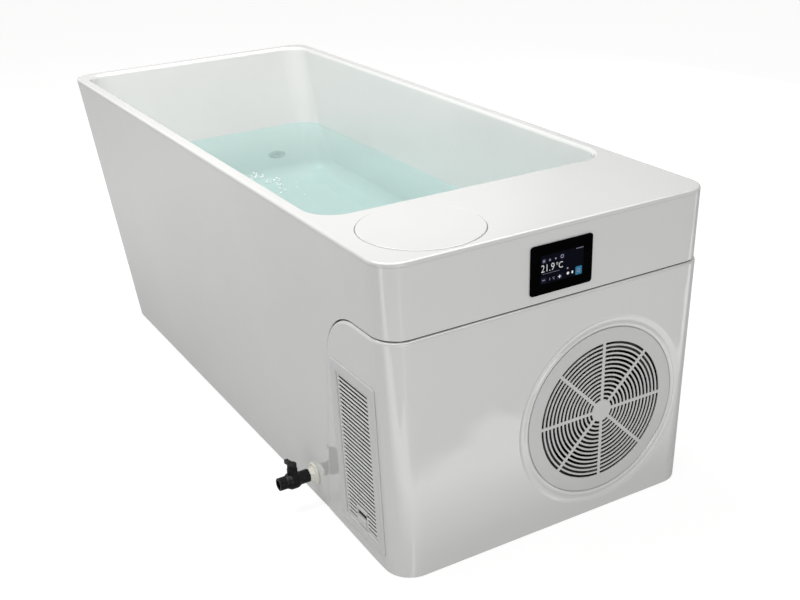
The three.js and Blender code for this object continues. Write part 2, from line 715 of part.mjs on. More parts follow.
// Flat round grille: rings of slots between straight spokes
function fanGrille() {
  const circle = (radius, steps) => Array.from({ length: steps }, (unused, i) => {
    const angle = 4 * QUARTER * i / steps;
    return [radius * Math.cos(angle), radius * Math.sin(angle)];
  });
  const plate = outlineShape(circle(GRILLE_RADIUS, WIDE_STEPS));
  const pitch = (SLOT_FIELD_RADIUS - GRILLE_HUB_RADIUS + GRILLE_RIB) / SLOT_RINGS;
  const sector = 4 * QUARTER / SLOT_SECTORS;
  const arc = (radius, start, steps) => Array.from({ length: steps + 1 }, (unused, i) => {
    const clear = Math.asin(SPOKE_WIDTH / 2 / radius);
    const angle = start + clear + (sector - 2 * clear) * i / steps;
    return new THREE.Vector2(radius * Math.cos(angle), radius * Math.sin(angle));
  });
  for (let ring = 0; ring < SLOT_RINGS; ring += 1) {
    const inner = GRILLE_HUB_RADIUS + ring * pitch;
    const steps = 1 + Math.round(2 * ring / SLOT_RINGS);
    for (let k = 0; k < SLOT_SECTORS; k += 1) {
      const outside = arc(inner + pitch - GRILLE_RIB, k * sector, steps);
      const inside = arc(inner, k * sector, steps).reverse();
      plate.holes.push(new THREE.Path([...outside, ...inside, outside[0]]));
    }
  }
  const back = coverFace - RECESS_DEPTH + SEAM;
  return facingPlate(plate, back, back + GRILLE_THICKNESS).translate(0, grilleY, grilleZ);
}

// Round lid, its seal and the filter below it
function accessLid() {
  const top = HEIGHT + LID_PROUD;
  const ribRadius = lidBore - LID_GAP;
  return turned([
    [0, lidUnder],
    [ribRadius - LID_RIB, lidUnder],
    [ribRadius - LID_RIB, lidUnder - LID_RIB_DEPTH],
    [ribRadius, lidUnder - LID_RIB_DEPTH],
    [ribRadius, lidUnder],
    [LID_RADIUS, lidUnder],
    [LID_RADIUS, top - LID_EDGE],
    [LID_RADIUS - LID_EDGE, top],
    [0, top],
  ], WIDE_STEPS).translate(lidX, lidY, 0);
}

function lidSeal() {
  const inner = lidBore + LID_GAP;
  const outer = inner + SEAL_WIDTH;
  const low = ledgeTop + SEAM;
  const high = low + SEAL_THICKNESS;
  const ring = turned([[inner, low], [outer, low], [outer, high], [inner, high]], WIDE_STEPS);
  return ring.translate(lidX, lidY, 0);
}

function filterHousing() {
  const portBore = HOSE_RADIUS - HOUSING_WALL;
  const outside = HOUSING_BORE + HOUSING_WALL;
  const flange = LID_RADIUS + HOUSING_LAP;
  const can = turned([
    [portBore, housingPort],
    [HOSE_RADIUS, housingPort],
    [HOSE_RADIUS, housingUnder],
    [outside, housingUnder],
    [outside, housingTop - HOUSING_WALL],
    [flange, housingTop - HOUSING_WALL],
    [flange, housingTop],
    [HOUSING_BORE, housingTop],
    [HOUSING_BORE, housingFloor],
    [portBore, housingFloor],
  ]);
  const stub = outFar(rod(HOSE_RADIUS, HOUSING_BORE + HOUSING_WALL / 2, outside + STUB_LENGTH, SMALL_STEPS));
  const port = outFar(rod(portBore, HOUSING_BORE - HOUSING_WALL, outside + 2 * STUB_LENGTH, SMALL_STEPS));
  return cut(
    join(can, stub.translate(0, 0, filterPortZ)),
    port.translate(0, 0, filterPortZ),
  ).translate(lidX, lidY, 0);
}

const mediaTop = capTop - CAP_THICKNESS - SEAM;

function filterMedia() {
  const pleats = Array.from({ length: 2 * PLEATS }, (unused, i) => {
    const angle = 2 * QUARTER * i / PLEATS;
    const radius = i % 2 ? MEDIA_RADIUS - PLEAT_DEPTH : MEDIA_RADIUS;
    return [radius * Math.cos(angle), radius * Math.sin(angle)];
  });
  const low = housingFloor + SEAM;
  const pack = extrude(outlineShape(pleats), mediaTop - low).translate(0, 0, low);
  return join(pack, rod(CAP_RADIUS, low, low + CAP_THICKNESS)).translate(lidX, lidY, 0);
}

function filterTopCap() {
  const half = HANDLE_LENGTH / 2;
  const side = HANDLE_THICKNESS / 2;
  const grip = box(-half, half, -side, side, capTop - CAP_THICKNESS / 2, handleTop);
  return join(rod(CAP_RADIUS, capTop - CAP_THICKNESS, capTop), grip).translate(lidX, lidY, 0);
}

// Touch screen, the display behind it and the control box under the deck
function screenGlass() {
  const shape = roundedShape(SCREEN_WIDTH, SCREEN_HEIGHT, SCREEN_CORNER);
  const back = FRONT + SEAM;
  return facingPlate(shape, back, back + SCREEN_THICKNESS).translate(0, SCREEN_Y, screenZ);
}

function displayModule() {
  const shape = roundedShape(displayWidth, displayHeight, SCREEN_CORNER / 2);
  const block = facingPlate(shape, FRONT - DISPLAY_DEPTH, FRONT).translate(0, SCREEN_Y, screenZ);
  const flangeFront = apronInner - SEAM;
  return join(block, displayFlange(0, flangeFront - DISPLAY_FLANGE_THICKNESS, flangeFront));
}

function controlBox() {
  const back = deckBack + SHELL_WALL + CONTROL_BACK_GAP;
  const half = CONTROL_WIDTH / 2;
  return box(back, back + CONTROL_LENGTH, CONTROL_Y - half, CONTROL_Y + half, controlUnder, rimUnder - SEAM);
}

// Side louvre, drawn flat and tilted with the wall: x along the tub, +y inwards, z up the wall
const louvre = new THREE.Group();
louvre.position.set(lidX, -(skirtHalf(LOUVRE_HEIGHT) + COVER_PROUD), LOUVRE_HEIGHT);
louvre.rotation.x = draftAngle;
tub.add(louvre);
const doorBack = DOOR_THICKNESS - DOOR_PROUD;
const pinY = DOOR_THICKNESS / 2 - DOOR_PROUD;
const pinZ = DOOR_HEIGHT / 2 - PIN_DROP;
const notchLow = LATCH_SILL - DOOR_HEIGHT / 2;
const notchHigh = notchLow + LATCH_HEIGHT + 2 * (HOLE_GAP + LATCH_TRAVEL);

function louvreFrame() {
  const openWidth = DOOR_WIDTH + 2 * DOOR_GAP;
  const openHeight = DOOR_HEIGHT + 2 * DOOR_GAP;
  const flange = roundedShape(FRAME_WIDTH, FRAME_HEIGHT, FRAME_CORNER);
  flange.holes.push(rectanglePath(openWidth, openHeight));
  const wall = 2 * SLEEVE_WALL;
  const sleeve = new THREE.Shape(rectanglePath(openWidth + wall, openHeight + wall).getPoints());
  sleeve.holes.push(rectanglePath(openWidth, openHeight));
  const reach = openWidth / 2 + SLEEVE_WALL;
  const pinRoom = alongX(rod(PIN_RADIUS + SEAM, -reach, reach, SMALL_STEPS)).translate(0, pinY, pinZ);
  return cut(
    join(
      uprightPlate(flange, -SEAM - FRAME_PROUD, -SEAM),
      uprightPlate(sleeve, -SEAM - FRAME_PROUD / 2, FRAME_DEPTH),
    ),
    pinRoom,
  );
}

function louvreDoor() {
  const notchHalf = LATCH_WIDTH / 2 + HOLE_GAP;
  const solidHalf = notchHalf + NOTCH_SIDE_WALL;
  const slotHalf = LOUVRE_SLOT_LENGTH / 2;
  const through = (x0, x1, z0, z1) => box(x0, x1, -CUT_OVER, CUT_OVER, z0, z1);
  const openings = [through(-notchHalf, notchHalf, notchLow, notchHigh)];
  for (let i = 0; i < LOUVRE_SLOTS; i += 1) {
    const low = (i - (LOUVRE_SLOTS - 1) / 2) * LOUVRE_PITCH - LOUVRE_SLOT / 2;
    const high = low + LOUVRE_SLOT;
    if (low < notchHigh + NOTCH_SIDE_WALL) {
      openings.push(through(-slotHalf, -solidHalf, low, high));
      openings.push(through(solidHalf, slotHalf, low, high));
    } else {
      openings.push(through(-slotHalf, slotHalf, low, high));
    }
  }
  const half = DOOR_WIDTH / 2;
  const plate = box(-half, half, -DOOR_PROUD, doorBack, -DOOR_HEIGHT / 2, DOOR_HEIGHT / 2);
  const pin = () => alongX(rod(PIN_RADIUS, half - PIN_LENGTH, half + PIN_LENGTH, SMALL_STEPS));
  return join(
    cut(plate, ...openings),
    pin().translate(0, pinY, pinZ),
    pin().rotateZ(2 * QUARTER).translate(0, pinY, pinZ),
  );
}

function doorLatch() {
  const shape = roundedShape(LATCH_WIDTH, LATCH_HEIGHT, LATCH_PROUD / 2);
  const middle = notchLow + HOLE_GAP + LATCH_HEIGHT / 2;
  return uprightPlate(shape, -DOOR_PROUD - LATCH_PROUD, doorBack).translate(0, 0, middle);
}

function dustFilter() {
  const half = DOOR_WIDTH / 2 - PAD_MARGIN;
  const low = PAD_MARGIN - DOOR_HEIGHT / 2;
  const front = doorBack + SEAM;
  return box(-half, half, front, front + PAD_THICKNESS, low, pinZ - PAD_MARGIN);
}

// Drain valve, drawn with +z outwards and y up, then turned to come out of the near side
const valve = new THREE.Group();
const valveFace = -(skirtHalf(VALVE_HEIGHT + BULKHEAD_RADIUS) + SEAM);
valve.position.set(valveX, valveFace, VALVE_HEIGHT);
valve.rotation.x = QUARTER;
tub.add(valve);
const bossEnd = BULKHEAD_FLANGE + BULKHEAD_BOSS;
const socketStart = bossEnd + SEAM;
const bulgeStart = socketStart + SOCKET_LENGTH;
const ballCentre = bulgeStart + VALVE_BULGE_LENGTH / 2;
const bulgeEnd = bulgeStart + VALVE_BULGE_LENGTH;
const outletEnd = bulgeEnd + OUTLET_LENGTH;
const upright = (geometry) => geometry.rotateX(-QUARTER).translate(0, 0, ballCentre);

function bulkheadFitting() {
  const edge = BULKHEAD_FLANGE / 3;
  return turned([
    [VALVE_BORE, -BULKHEAD_TAIL],
    [BULKHEAD_TUBE, -BULKHEAD_TAIL],
    [BULKHEAD_TUBE, 0],
    [BULKHEAD_RADIUS, 0],
    [BULKHEAD_RADIUS, BULKHEAD_FLANGE - edge],
    [BULKHEAD_RADIUS - edge, BULKHEAD_FLANGE],
    [BULKHEAD_BOSS_RADIUS, BULKHEAD_FLANGE],
    [BULKHEAD_BOSS_RADIUS, bossEnd],
    [NIPPLE_RADIUS, bossEnd],
    [NIPPLE_RADIUS, bossEnd + NIPPLE_LENGTH],
    [VALVE_BORE, bossEnd + NIPPLE_LENGTH],
  ]);
}

function bulkheadNut() {
  const wallInner = -(skirtHalf(VALVE_HEIGHT - NUT_RADIUS) - SHELL_WALL) + SEAM;
  const outer = valveFace - wallInner;
  const bore = (BULKHEAD_TUBE + SEAM) / Math.cos(Math.PI / HEX_SIDES);
  const inner = outer - NUT_THICKNESS;
  return turned([[bore, inner], [NUT_RADIUS, inner], [NUT_RADIUS, outer], [bore, outer]], HEX_SIDES);
}

function valveBody() {
  const cavity = BALL_RADIUS + HOLE_GAP;
  const reach = Math.acos(VALVE_BORE / cavity);
  const seat = Array.from({ length: BALL_RINGS + 1 }, (unused, i) => {
    const angle = reach * (1 - 2 * i / BALL_RINGS);
    return [cavity * Math.cos(angle), ballCentre + cavity * Math.sin(angle)];
  });
  const swell = VALVE_BULGE - SOCKET_RADIUS;
  const nippleRoom = bossEnd + NIPPLE_LENGTH + SEAM;
  const barrel = turned([
    [SOCKET_RADIUS, socketStart],
    [SOCKET_RADIUS, bulgeStart],
    [VALVE_BULGE, bulgeStart + swell],
    [VALVE_BULGE, bulgeEnd - swell],
    [OUTLET_RADIUS, bulgeEnd],
    [OUTLET_RADIUS, outletEnd],
    [VALVE_BORE, outletEnd],
    ...seat,
    [VALVE_BORE, nippleRoom],
    [NIPPLE_RADIUS + SEAM, nippleRoom],
    [NIPPLE_RADIUS + SEAM, socketStart],
  ]);
  const neck = upright(rod(NECK_RADIUS, cavity + SEAM, NECK_HEIGHT));
  const stemRoom = upright(rod(STEM_RADIUS + SEAM, BALL_FLAT, NECK_HEIGHT + CUT_OVER));
  return cut(join(barrel, neck), stemRoom);
}

function valveBall() {
  const sphere = new THREE.SphereGeometry(BALL_RADIUS, ROUND_STEPS, BALL_RINGS);
  const bore = alongX(rod(VALVE_BORE, -CUT_OVER, CUT_OVER));
  const top = box(-CUT_OVER, CUT_OVER, BALL_FLAT, CUT_OVER, -CUT_OVER, CUT_OVER);
  return cut(sphere, bore, top).translate(0, 0, ballCentre);
}

function valveLever() {
  const low = NECK_HEIGHT + SEAM;
  const high = low + LEVER_HUB_HEIGHT;
  const stem = upright(rod(STEM_RADIUS, BALL_FLAT + SEAM, low + LEVER_DROP));
  const hub = upright(rod(LEVER_HUB_RADIUS, low, high));
  const wing = outlineShape([
    [LEVER_SHORT, low],
    [LEVER_SHORT, high],
    [-LEVER_HUB_RADIUS, high],
    [-LEVER_LONG, high - LEVER_DROP],
    [-LEVER_LONG, low - LEVER_DROP],
    [-NECK_RADIUS - SEAM, low],
  ]);
  const blade = extrude(wing, LEVER_THICKNESS).translate(0, 0, ballCentre - LEVER_THICKNESS / 2);
  return join(stem, hub, blade);
}

// Cable gland for the mains lead on the far side
function cableGland() {
  const end = GLAND_FLANGE + GLAND_DOME;
  const mouth = GLAND_RADIUS / 2;
  const gland = turned([
    [0, -SHELL_WALL - GLAND_FLANGE],
    [BULKHEAD_TUBE, -SHELL_WALL - GLAND_FLANGE],
    [BULKHEAD_TUBE, 0],
    [GLAND_RADIUS, 0],
    [GLAND_RADIUS, GLAND_FLANGE],
    [BULKHEAD_TUBE, GLAND_FLANGE],
    [mouth, end],
    [0, end],
  ]);
  const face = skirtHalf(VALVE_HEIGHT + GLAND_RADIUS) + SEAM;
  return outFar(gland).translate(valveX, face, VALVE_HEIGHT);
}

// Flanged fittings through the basin wall: the flange is inside the basin, the tail behind the wall
function openFitting(tail) {
  const edge = FITTING_FLANGE / 2;
  return turned([
    [FITTING_BORE, -tail],
    [FITTING_TAIL_RADIUS, -tail],
    [FITTING_TAIL_RADIUS, SEAM],
    [FITTING_RADIUS, SEAM],
    [FITTING_RADIUS, edge],
    [FITTING_RADIUS - edge, FITTING_FLANGE],
    [FITTING_BORE, FITTING_FLANGE],
  ]);
}

function returnJet() {
  const edge = FITTING_FLANGE / 2;
  const end = -SHELL_WALL - JET_TAIL;
  return turned([
    [0, end],
    [FITTING_TAIL_RADIUS, end],
    [FITTING_TAIL_RADIUS, SEAM],
    [FITTING_RADIUS, SEAM],
    [FITTING_RADIUS, edge],
    [FITTING_RADIUS - edge, FITTING_FLANGE],
    [FITTING_BORE, FITTING_FLANGE],
    [FITTING_BORE, end + JET_END_WALL],
    [0, end + JET_END_WALL],
  ]);
}

// Base: square tubes, feet, board, foam and the tray for the chiller
const squareTube = () => {
  const shape = new THREE.Shape(rectanglePath(TUBE_SIZE, TUBE_SIZE).getPoints());
  const bore = TUBE_SIZE - 2 * TUBE_WALL;
  shape.holes.push(rectanglePath(bore, bore));
  return shape;
};
const tubeMiddle = FOOT_HEIGHT + TUBE_SIZE / 2;
const footY = tubeHalf - FOOT_END_INSET;
const studRoom = STUD_RADIUS + SEAM;
const studHole = (x, y) =>
  rod(studRoom, FOOT_HEIGHT - CUT_OVER, FOOT_HEIGHT + 2 * TUBE_WALL, SMALL_STEPS).translate(x, y, 0);

function crossTube(x, half, studs) {
  const tube = uprightPlate(squareTube(), -half, half).translate(x, 0, tubeMiddle);
  return cut(tube, ...studs.map((y) => studHole(x, y)));
}

function rail(y) {
  const start = headTubeX + TUBE_SIZE / 2 + SEAM;
  const end = frontTubeX - TUBE_SIZE / 2 - SEAM;
  return facingPlate(squareTube(), start, end).translate(0, y, tubeMiddle);
}

function levellingFoot() {
  const seat = FOOT_HEIGHT - SEAM;
  return turned([
    [0, 0],
    [FOOT_PAD_RADIUS, 0],
    [FOOT_PAD_RADIUS, FOOT_PAD],
    [STUD_RADIUS, FOOT_PAD + STUD_RADIUS],
    [STUD_RADIUS, seat - FOOT_COLLAR],
    [FOOT_COLLAR_RADIUS, seat - FOOT_COLLAR],
    [FOOT_COLLAR_RADIUS, seat],
    [STUD_RADIUS, seat],
    [STUD_RADIUS, FOOT_HEIGHT + STUD_REACH],
    [0, FOOT_HEIGHT + STUD_REACH],
  ], SMALL_STEPS);
}

function floorLayer(low, high) {
  const layer = box(floorHead, floorFront, -floorHalf, floorHalf, low, high);
  const hole = rod(FITTING_TAIL_RADIUS + HOLE_GAP, low - CUT_OVER, high + CUT_OVER, SMALL_STEPS);
  return cut(layer, hole.translate(drainX, drainY, 0));
}

const foamLow = basinFloor + BASIN_FILLET + FOAM_MARGIN;
const foamHigh = rimUnder - FOAM_MARGIN;

// Foam against a side wall of the basin, on the side given by its sign
function sideFoam(side) {
  const inner = (z) => side * (basinHalf(z) + SHELL_WALL + SEAM);
  const outer = (z) => inner(z) + side * SIDE_FOAM;
  const start = basinHeadX(foamLow) + BASIN_CORNER;
  const end = basinFrontX(foamLow) - BASIN_CORNER;
  const section = [
    [inner(foamLow), foamLow],
    [outer(foamLow), foamLow],
    [outer(foamHigh), foamHigh],
    [inner(foamHigh), foamHigh],
  ];
  return facingPlate(outlineShape(section), start, end);
}

function headFoam() {
  const slant = Math.cos(headTilt);
  const inner = (z) => basinHeadX(z) - SHELL_WALL - SEAM / slant;
  const outer = (z) => inner(z) - SIDE_FOAM / slant;
  const section = [
    [inner(foamLow), foamLow],
    [inner(foamHigh), foamHigh],
    [outer(foamHigh), foamHigh],
    [outer(foamLow), foamLow],
  ];
  const nearEnd = BASIN_CORNER - basinHalf(foamLow);
  const jetEnd = JET_Y - FITTING_RADIUS - FOAM_MARGIN;
  return uprightPlate(outlineShape(section), nearEnd, jetEnd);
}

// Fan: duct, motor on its bracket, and the rotor on the motor shaft
const rotorX = ductFront - ROTOR_SETBACK;
const motorFront = rotorX - hubHalf - MOTOR_GAP;
const motorBack = motorFront - MOTOR_LENGTH;

function fanDuct() {
  const near = grilleY - ductHalf;
  const far = grilleY + ductHalf;
  const shell = box(ductBack, ductFront, near, far, ductBottom, ductTop);
  const hollow = box(
    ductBack - CUT_OVER,
    ductFront - DUCT_WALL,
    near + DUCT_WALL,
    far - DUCT_WALL,
    ductBottom + DUCT_WALL,
    ductTop - DUCT_WALL,
  );
  const hole = alongX(rod(fanHole, -CUT_OVER, CUT_OVER, WIDE_STEPS));
  return cut(shell, hollow, hole.translate(ductFront, grilleY, grilleZ));
}

function motorBracket() {
  const half = MOTOR_BRACKET_WIDTH / 2;
  const front = motorBack - SEAM;
  const low = ductBottom + DUCT_WALL + SEAM;
  return box(front - MOTOR_BRACKET, front, grilleY - half, grilleY + half, low, ductTop - DUCT_WALL - SEAM);
}

function fanMotor() {
  const shaftEnd = MOTOR_LENGTH + MOTOR_GAP + FAN_HUB_DEPTH - HUB_WEB - SEAM;
  const motor = turned([
    [0, 0],
    [MOTOR_RADIUS, 0],
    [MOTOR_RADIUS, MOTOR_LENGTH],
    [SHAFT_RADIUS, MOTOR_LENGTH],
    [SHAFT_RADIUS, shaftEnd],
    [0, shaftEnd],
  ]);
  return alongX(motor).translate(motorBack, grilleY, grilleZ);
}

function fanRotor() {
  const bore = SHAFT_RADIUS + SEAM;
  const hub = turned([
    [0, hubHalf - HUB_WEB],
    [bore, hubHalf - HUB_WEB],
    [bore, -hubHalf],
    [FAN_HUB_RADIUS, -hubHalf],
    [FAN_HUB_RADIUS, hubHalf - HUB_CHAMFER],
    [FAN_HUB_RADIUS - HUB_CHAMFER, hubHalf],
    [0, hubHalf],
  ]);
  const pitch = THREE.MathUtils.degToRad(BLADE_PITCH);
  const root = FAN_HUB_RADIUS - HUB_CHAMFER;
  const half = BLADE_CHORD / 2;
  const skin = BLADE_THICKNESS / 2;
  const blades = Array.from({ length: FAN_BLADES }, (unused, i) => {
    const blade = box(root, FAN_RADIUS, -half, half, -skin, skin);
    return blade.rotateX(pitch).rotateZ(4 * QUARTER * i / FAN_BLADES);
  });
  const reach = rod(FAN_RADIUS, -BLADE_CHORD, BLADE_CHORD, WIDE_STEPS);
  const inside = rod(root, -BLADE_CHORD, BLADE_CHORD);
  const ring = cut(common(blades.reduce((all, blade) => join(all, blade)), reach), inside);
  return alongX(join(hub, ring)).translate(rotorX, grilleY, grilleZ);
}

// Refrigeration: fin pack, canister, compressor and its copper lines
function condenser() {
  const front = ductBack - SEAM;
  const block = box(condenserBack, front, grilleY - ductHalf, grilleY + ductHalf, ductBottom, ductTop);
  const pitch = 2 * ductHalf / CONDENSER_SLOTS;
  const gaps = Array.from({ length: CONDENSER_SLOTS }, (unused, i) => {
    const near = grilleY - ductHalf + i * pitch + CONDENSER_FIN / 2;
    const low = ductBottom + CONDENSER_HEADER;
    const high = ductTop - CONDENSER_HEADER;
    return box(condenserBack - CUT_OVER, front + CUT_OVER, near, near + pitch - CONDENSER_FIN, low, high);
  });
  return cut(block, ...gaps);
}

const evaporatorTop = ductTop + STUB_LENGTH;
const returnStub = EVAPORATOR_RADIUS + CHILLER_GAP;
const returnZ = trayTop + RETURN_RADIUS + SHELL_WALL;

function evaporator() {
  const can = turned([
    [0, ductBottom],
    [EVAPORATOR_RADIUS, ductBottom],
    [EVAPORATOR_RADIUS, ductTop - EVAPORATOR_DOME],
    [EVAPORATOR_RADIUS - EVAPORATOR_DOME, ductTop],
    [HOSE_RADIUS, ductTop],
    [HOSE_RADIUS, evaporatorTop],
    [0, evaporatorTop],
  ]);
  const stub = alongX(rod(RETURN_RADIUS, -returnStub, RETURN_RADIUS - EVAPORATOR_RADIUS, SMALL_STEPS));
  return join(can, stub.translate(0, 0, returnZ)).translate(evaporatorX, evaporatorY, 0);
}

function compressor() {
  const low = compressorBottom;
  const flat = COMPRESSOR_RADIUS - COMPRESSOR_DOME;
  return turned([
    [0, low],
    [flat, low],
    [COMPRESSOR_RADIUS, low + COMPRESSOR_DOME / 2],
    [COMPRESSOR_RADIUS, compressorTop - COMPRESSOR_DOME],
    [COMPRESSOR_RADIUS - COMPRESSOR_DOME / 3, compressorTop - COMPRESSOR_DOME / 3],
    [flat, compressorTop],
    [0, compressorTop],
  ]).translate(compressorX, compressorY, 0);
}

function compressorPad() {
  const low = trayTop + SEAM;
  const pad = rod(COMPRESSOR_RADIUS - COMPRESSOR_DOME / 2, low, low + COMPRESSOR_PAD);
  return pad.translate(compressorX, compressorY, 0);
}

const dischargeX = compressorX + PORT_SPACING;
const suctionX = compressorX - PORT_SPACING;
const condenserMiddle = condenserBack + CONDENSER_DEPTH / 2;
const condenserNear = grilleY - ductHalf - SEAM;
const evaporatorNear = evaporatorY - EVAPORATOR_RADIUS - SEAM;
const highLine = compressorTop + COPPER_RISE;
const middleLine = compressorTop + COPPER_RISE / 2;
const lowLine = trayTop + LIQUID_HEIGHT;
const liquidY = grilleY - LIQUID_OFFSET;

const dischargeRoute = [
  [dischargeX, compressorY, compressorTop + SEAM],
  [dischargeX, compressorY, highLine],
  [condenserMiddle, condenserNear - COPPER_RISE, highLine],
  [condenserMiddle, condenserNear, highLine],
];
const suctionRoute = [
  [evaporatorX, evaporatorNear, middleLine],
  [evaporatorX, compressorY + COMPRESSOR_RADIUS, middleLine],
  [suctionX, compressorY, middleLine],
  [suctionX, compressorY, compressorTop + SEAM],
];
const liquidRoute = [
  [condenserBack - SEAM, liquidY, lowLine],
  [evaporatorX, liquidY, lowLine],
  [evaporatorX, evaporatorNear, lowLine],
];

// Water circuit: pump, hoses, return pipe and drain pipe
function pump() {
  const voluteEnd = PUMP_STUB + PUMP_VOLUTE;
  const barrel = turned([
    [0, 0],
    [HOSE_RADIUS, 0],
    [HOSE_RADIUS, PUMP_STUB],
    [PUMP_RADIUS, PUMP_STUB],
    [PUMP_RADIUS, voluteEnd],
    [PUMP_MOTOR_RADIUS, voluteEnd],
    [PUMP_MOTOR_RADIUS, voluteEnd + PUMP_MOTOR_LENGTH],
    [0, voluteEnd + PUMP_MOTOR_LENGTH],
  ]);
  const outlet = rod(HOSE_RADIUS, pumpZ + PUMP_RADIUS / 2, pumpTop, SMALL_STEPS);
  return join(
    alongX(barrel).translate(pumpX, pumpY, pumpZ),
    outlet.translate(lidX, pumpY, 0),
  );
}

function pumpBracket() {
  const start = pumpX + PUMP_STUB + PUMP_VOLUTE + CHILLER_GAP;
  const half = PUMP_BRACKET_WIDTH / 2;
  const top = pumpZ - PUMP_MOTOR_RADIUS - SEAM;
  return box(start, start + PUMP_BRACKET_LENGTH, pumpY - half, pumpY + half, trayTop + SEAM, top);
}

const suctionEnd = suctionPoint.x + suctionTail * Math.cos(frontTilt);
const suctionHoseStart = suctionEnd + SEAM + HOSE_RADIUS * Math.tan(frontTilt);
const filterLead = filterPortY + 2 * HOSE_BEND;
const jetWall = SHELL_WALL * Math.cos(headTilt);
const wallUp = new THREE.Vector3(-Math.sin(headTilt), 0, Math.cos(headTilt));
const jetAxis = jetPoint.clone().addScaledVector(jetFacing, -jetWall - JET_OFFSET);
const runY = tubeHalf - RETURN_INSET;
const runZ = frameTop + SEAM + RETURN_RADIUS;
const jetEntry = jetAxis.clone().addScaledVector(wallUp, -FITTING_TAIL_RADIUS - SEAM);
const jetTurn = jetAxis.clone().addScaledVector(wallUp, (runZ - jetAxis.z) / wallUp.z);
const returnStart = evaporatorX - returnStub - SEAM;
const returnTurn = returnStart - RETURN_STEP_OUT;
const bulkheadEnd = valveFace + BULKHEAD_TAIL + SEAM;

const quarter = (from, to) => from + (to - from) / 4;
const suctionHoseRoute = [
  [suctionHoseStart, suctionY, pumpZ],
  [quarter(suctionHoseStart, pumpX), suctionY, pumpZ],
  [quarter(pumpX, suctionHoseStart), pumpY, pumpZ],
  [pumpX - SEAM, pumpY, pumpZ],
];
const pumpHoseRoute = [
  [lidX, pumpY, pumpTop + SEAM],
  [lidX, pumpY, quarter(pumpTop, housingPort)],
  [lidX, lidY, quarter(housingPort, pumpTop)],
  [lidX, lidY, housingPort - SEAM],
];
const filterHoseRoute = [
  [lidX, filterPortY + SEAM, filterPortZ],
  [lidX, filterLead, filterPortZ],
  [evaporatorX, evaporatorY - EVAPORATOR_OFFSET, filterPortZ],
  [evaporatorX, evaporatorY, filterPortZ],
  [evaporatorX, evaporatorY, evaporatorTop + SEAM],
];
const returnRoute = [
  [returnStart, evaporatorY, returnZ],
  [returnTurn, evaporatorY, returnZ],
  [returnTurn, runY, runZ],
  [jetTurn.x, runY, runZ],
  jetTurn.toArray(),
  jetEntry.toArray(),
];
const drainRoute = [
  [drainX, drainY, basinFloor - drainTail - SEAM],
  [drainX, drainY, VALVE_HEIGHT],
  [drainX, drainY - DRAIN_LEAD, VALVE_HEIGHT],
  [valveX, bulkheadEnd + DRAIN_BEND, VALVE_HEIGHT],
  [valveX, bulkheadEnd, VALVE_HEIGHT],
];

// The tub itself
add('basin_shell', basinShell(), ACRYLIC);
add('outer_skirt', outerSkirt(), ACRYLIC);
add('chiller_cover', chillerCover(), ACRYLIC);
add('floor_board', floorLayer(frameTop + SEAM, boardTop), PLYWOOD);
add('floor_foam', floorLayer(boardTop + SEAM, foamTop), FOAM);
add('side_foam_near', sideFoam(-1), FOAM);
add('side_foam_far', sideFoam(1), FOAM);
add('head_foam', headFoam(), FOAM);

// Base
add('cross_tube_head', crossTube(headTubeX, tubeHalf, [-footY, footY]), PAINTED_STEEL);
add('cross_tube_centre', crossTube(0, railY - TUBE_SIZE / 2 - SEAM, [0]), PAINTED_STEEL);
add('cross_tube_front', crossTube(frontTubeX, tubeHalf, [-footY, footY]), PAINTED_STEEL);
add('rail_near', rail(-railY), PAINTED_STEEL);
add('rail_far', rail(railY), PAINTED_STEEL);
add('chiller_tray', box(trayBack, ductFront, -tubeHalf, tubeHalf, frameTop + SEAM, trayTop), STEEL);
const feet = [
  ['foot_head_near', headTubeX, -footY],
  ['foot_head_far', headTubeX, footY],
  ['foot_front_near', frontTubeX, -footY],
  ['foot_front_far', frontTubeX, footY],
  ['foot_centre', 0, 0],
];
feet.forEach(([name, x, y]) => add(name, levellingFoot(), BLACK_PLASTIC).position.set(x, y, 0));

// Front and deck
add('fan_grille', fanGrille(), GREY_PLASTIC);
add('access_lid', accessLid(), ACRYLIC);
add('lid_seal', lidSeal(), RUBBER);
add('filter_housing', filterHousing(), OFF_WHITE_PLASTIC);
add('filter_media', filterMedia(), FILTER_PAPER);
add('filter_top_cap', filterTopCap(), OFF_WHITE_PLASTIC);
add('screen_glass', screenGlass(), SCREEN_GLASS);
add('display_module', displayModule(), BLACK_PLASTIC);
add('control_box', controlBox(), GREY_PLASTIC);
add('louvre_frame', louvreFrame(), GREY_PLASTIC, louvre);
add('louvre_door', louvreDoor(), GREY_PLASTIC, louvre);
add('door_latch', doorLatch(), GREY_PLASTIC, louvre);
add('dust_filter', dustFilter(), RUBBER, louvre);

// Drain and basin fittings
add('bulkhead_fitting', bulkheadFitting(), OFF_WHITE_PLASTIC, valve);
add('bulkhead_nut', bulkheadNut(), OFF_WHITE_PLASTIC, valve);
add('valve_body', valveBody(), BLACK_PLASTIC, valve);
add('valve_ball', valveBall(), OFF_WHITE_PLASTIC, valve);
add('valve_lever', valveLever(), BLACK_PLASTIC, valve);
add('cable_gland', cableGland(), BLACK_PLASTIC);
add('return_jet', returnJet().applyMatrix4(jetFrame), OFF_WHITE_PLASTIC);
add('suction_fitting', openFitting(suctionTail).applyMatrix4(suctionFrame), OFF_WHITE_PLASTIC);
add('floor_drain', openFitting(drainTail).applyMatrix4(drainFrame), STEEL);
add('drain_pipe', pipe(drainRoute, HOSE_RADIUS, DRAIN_BEND), HOSE_PLASTIC);

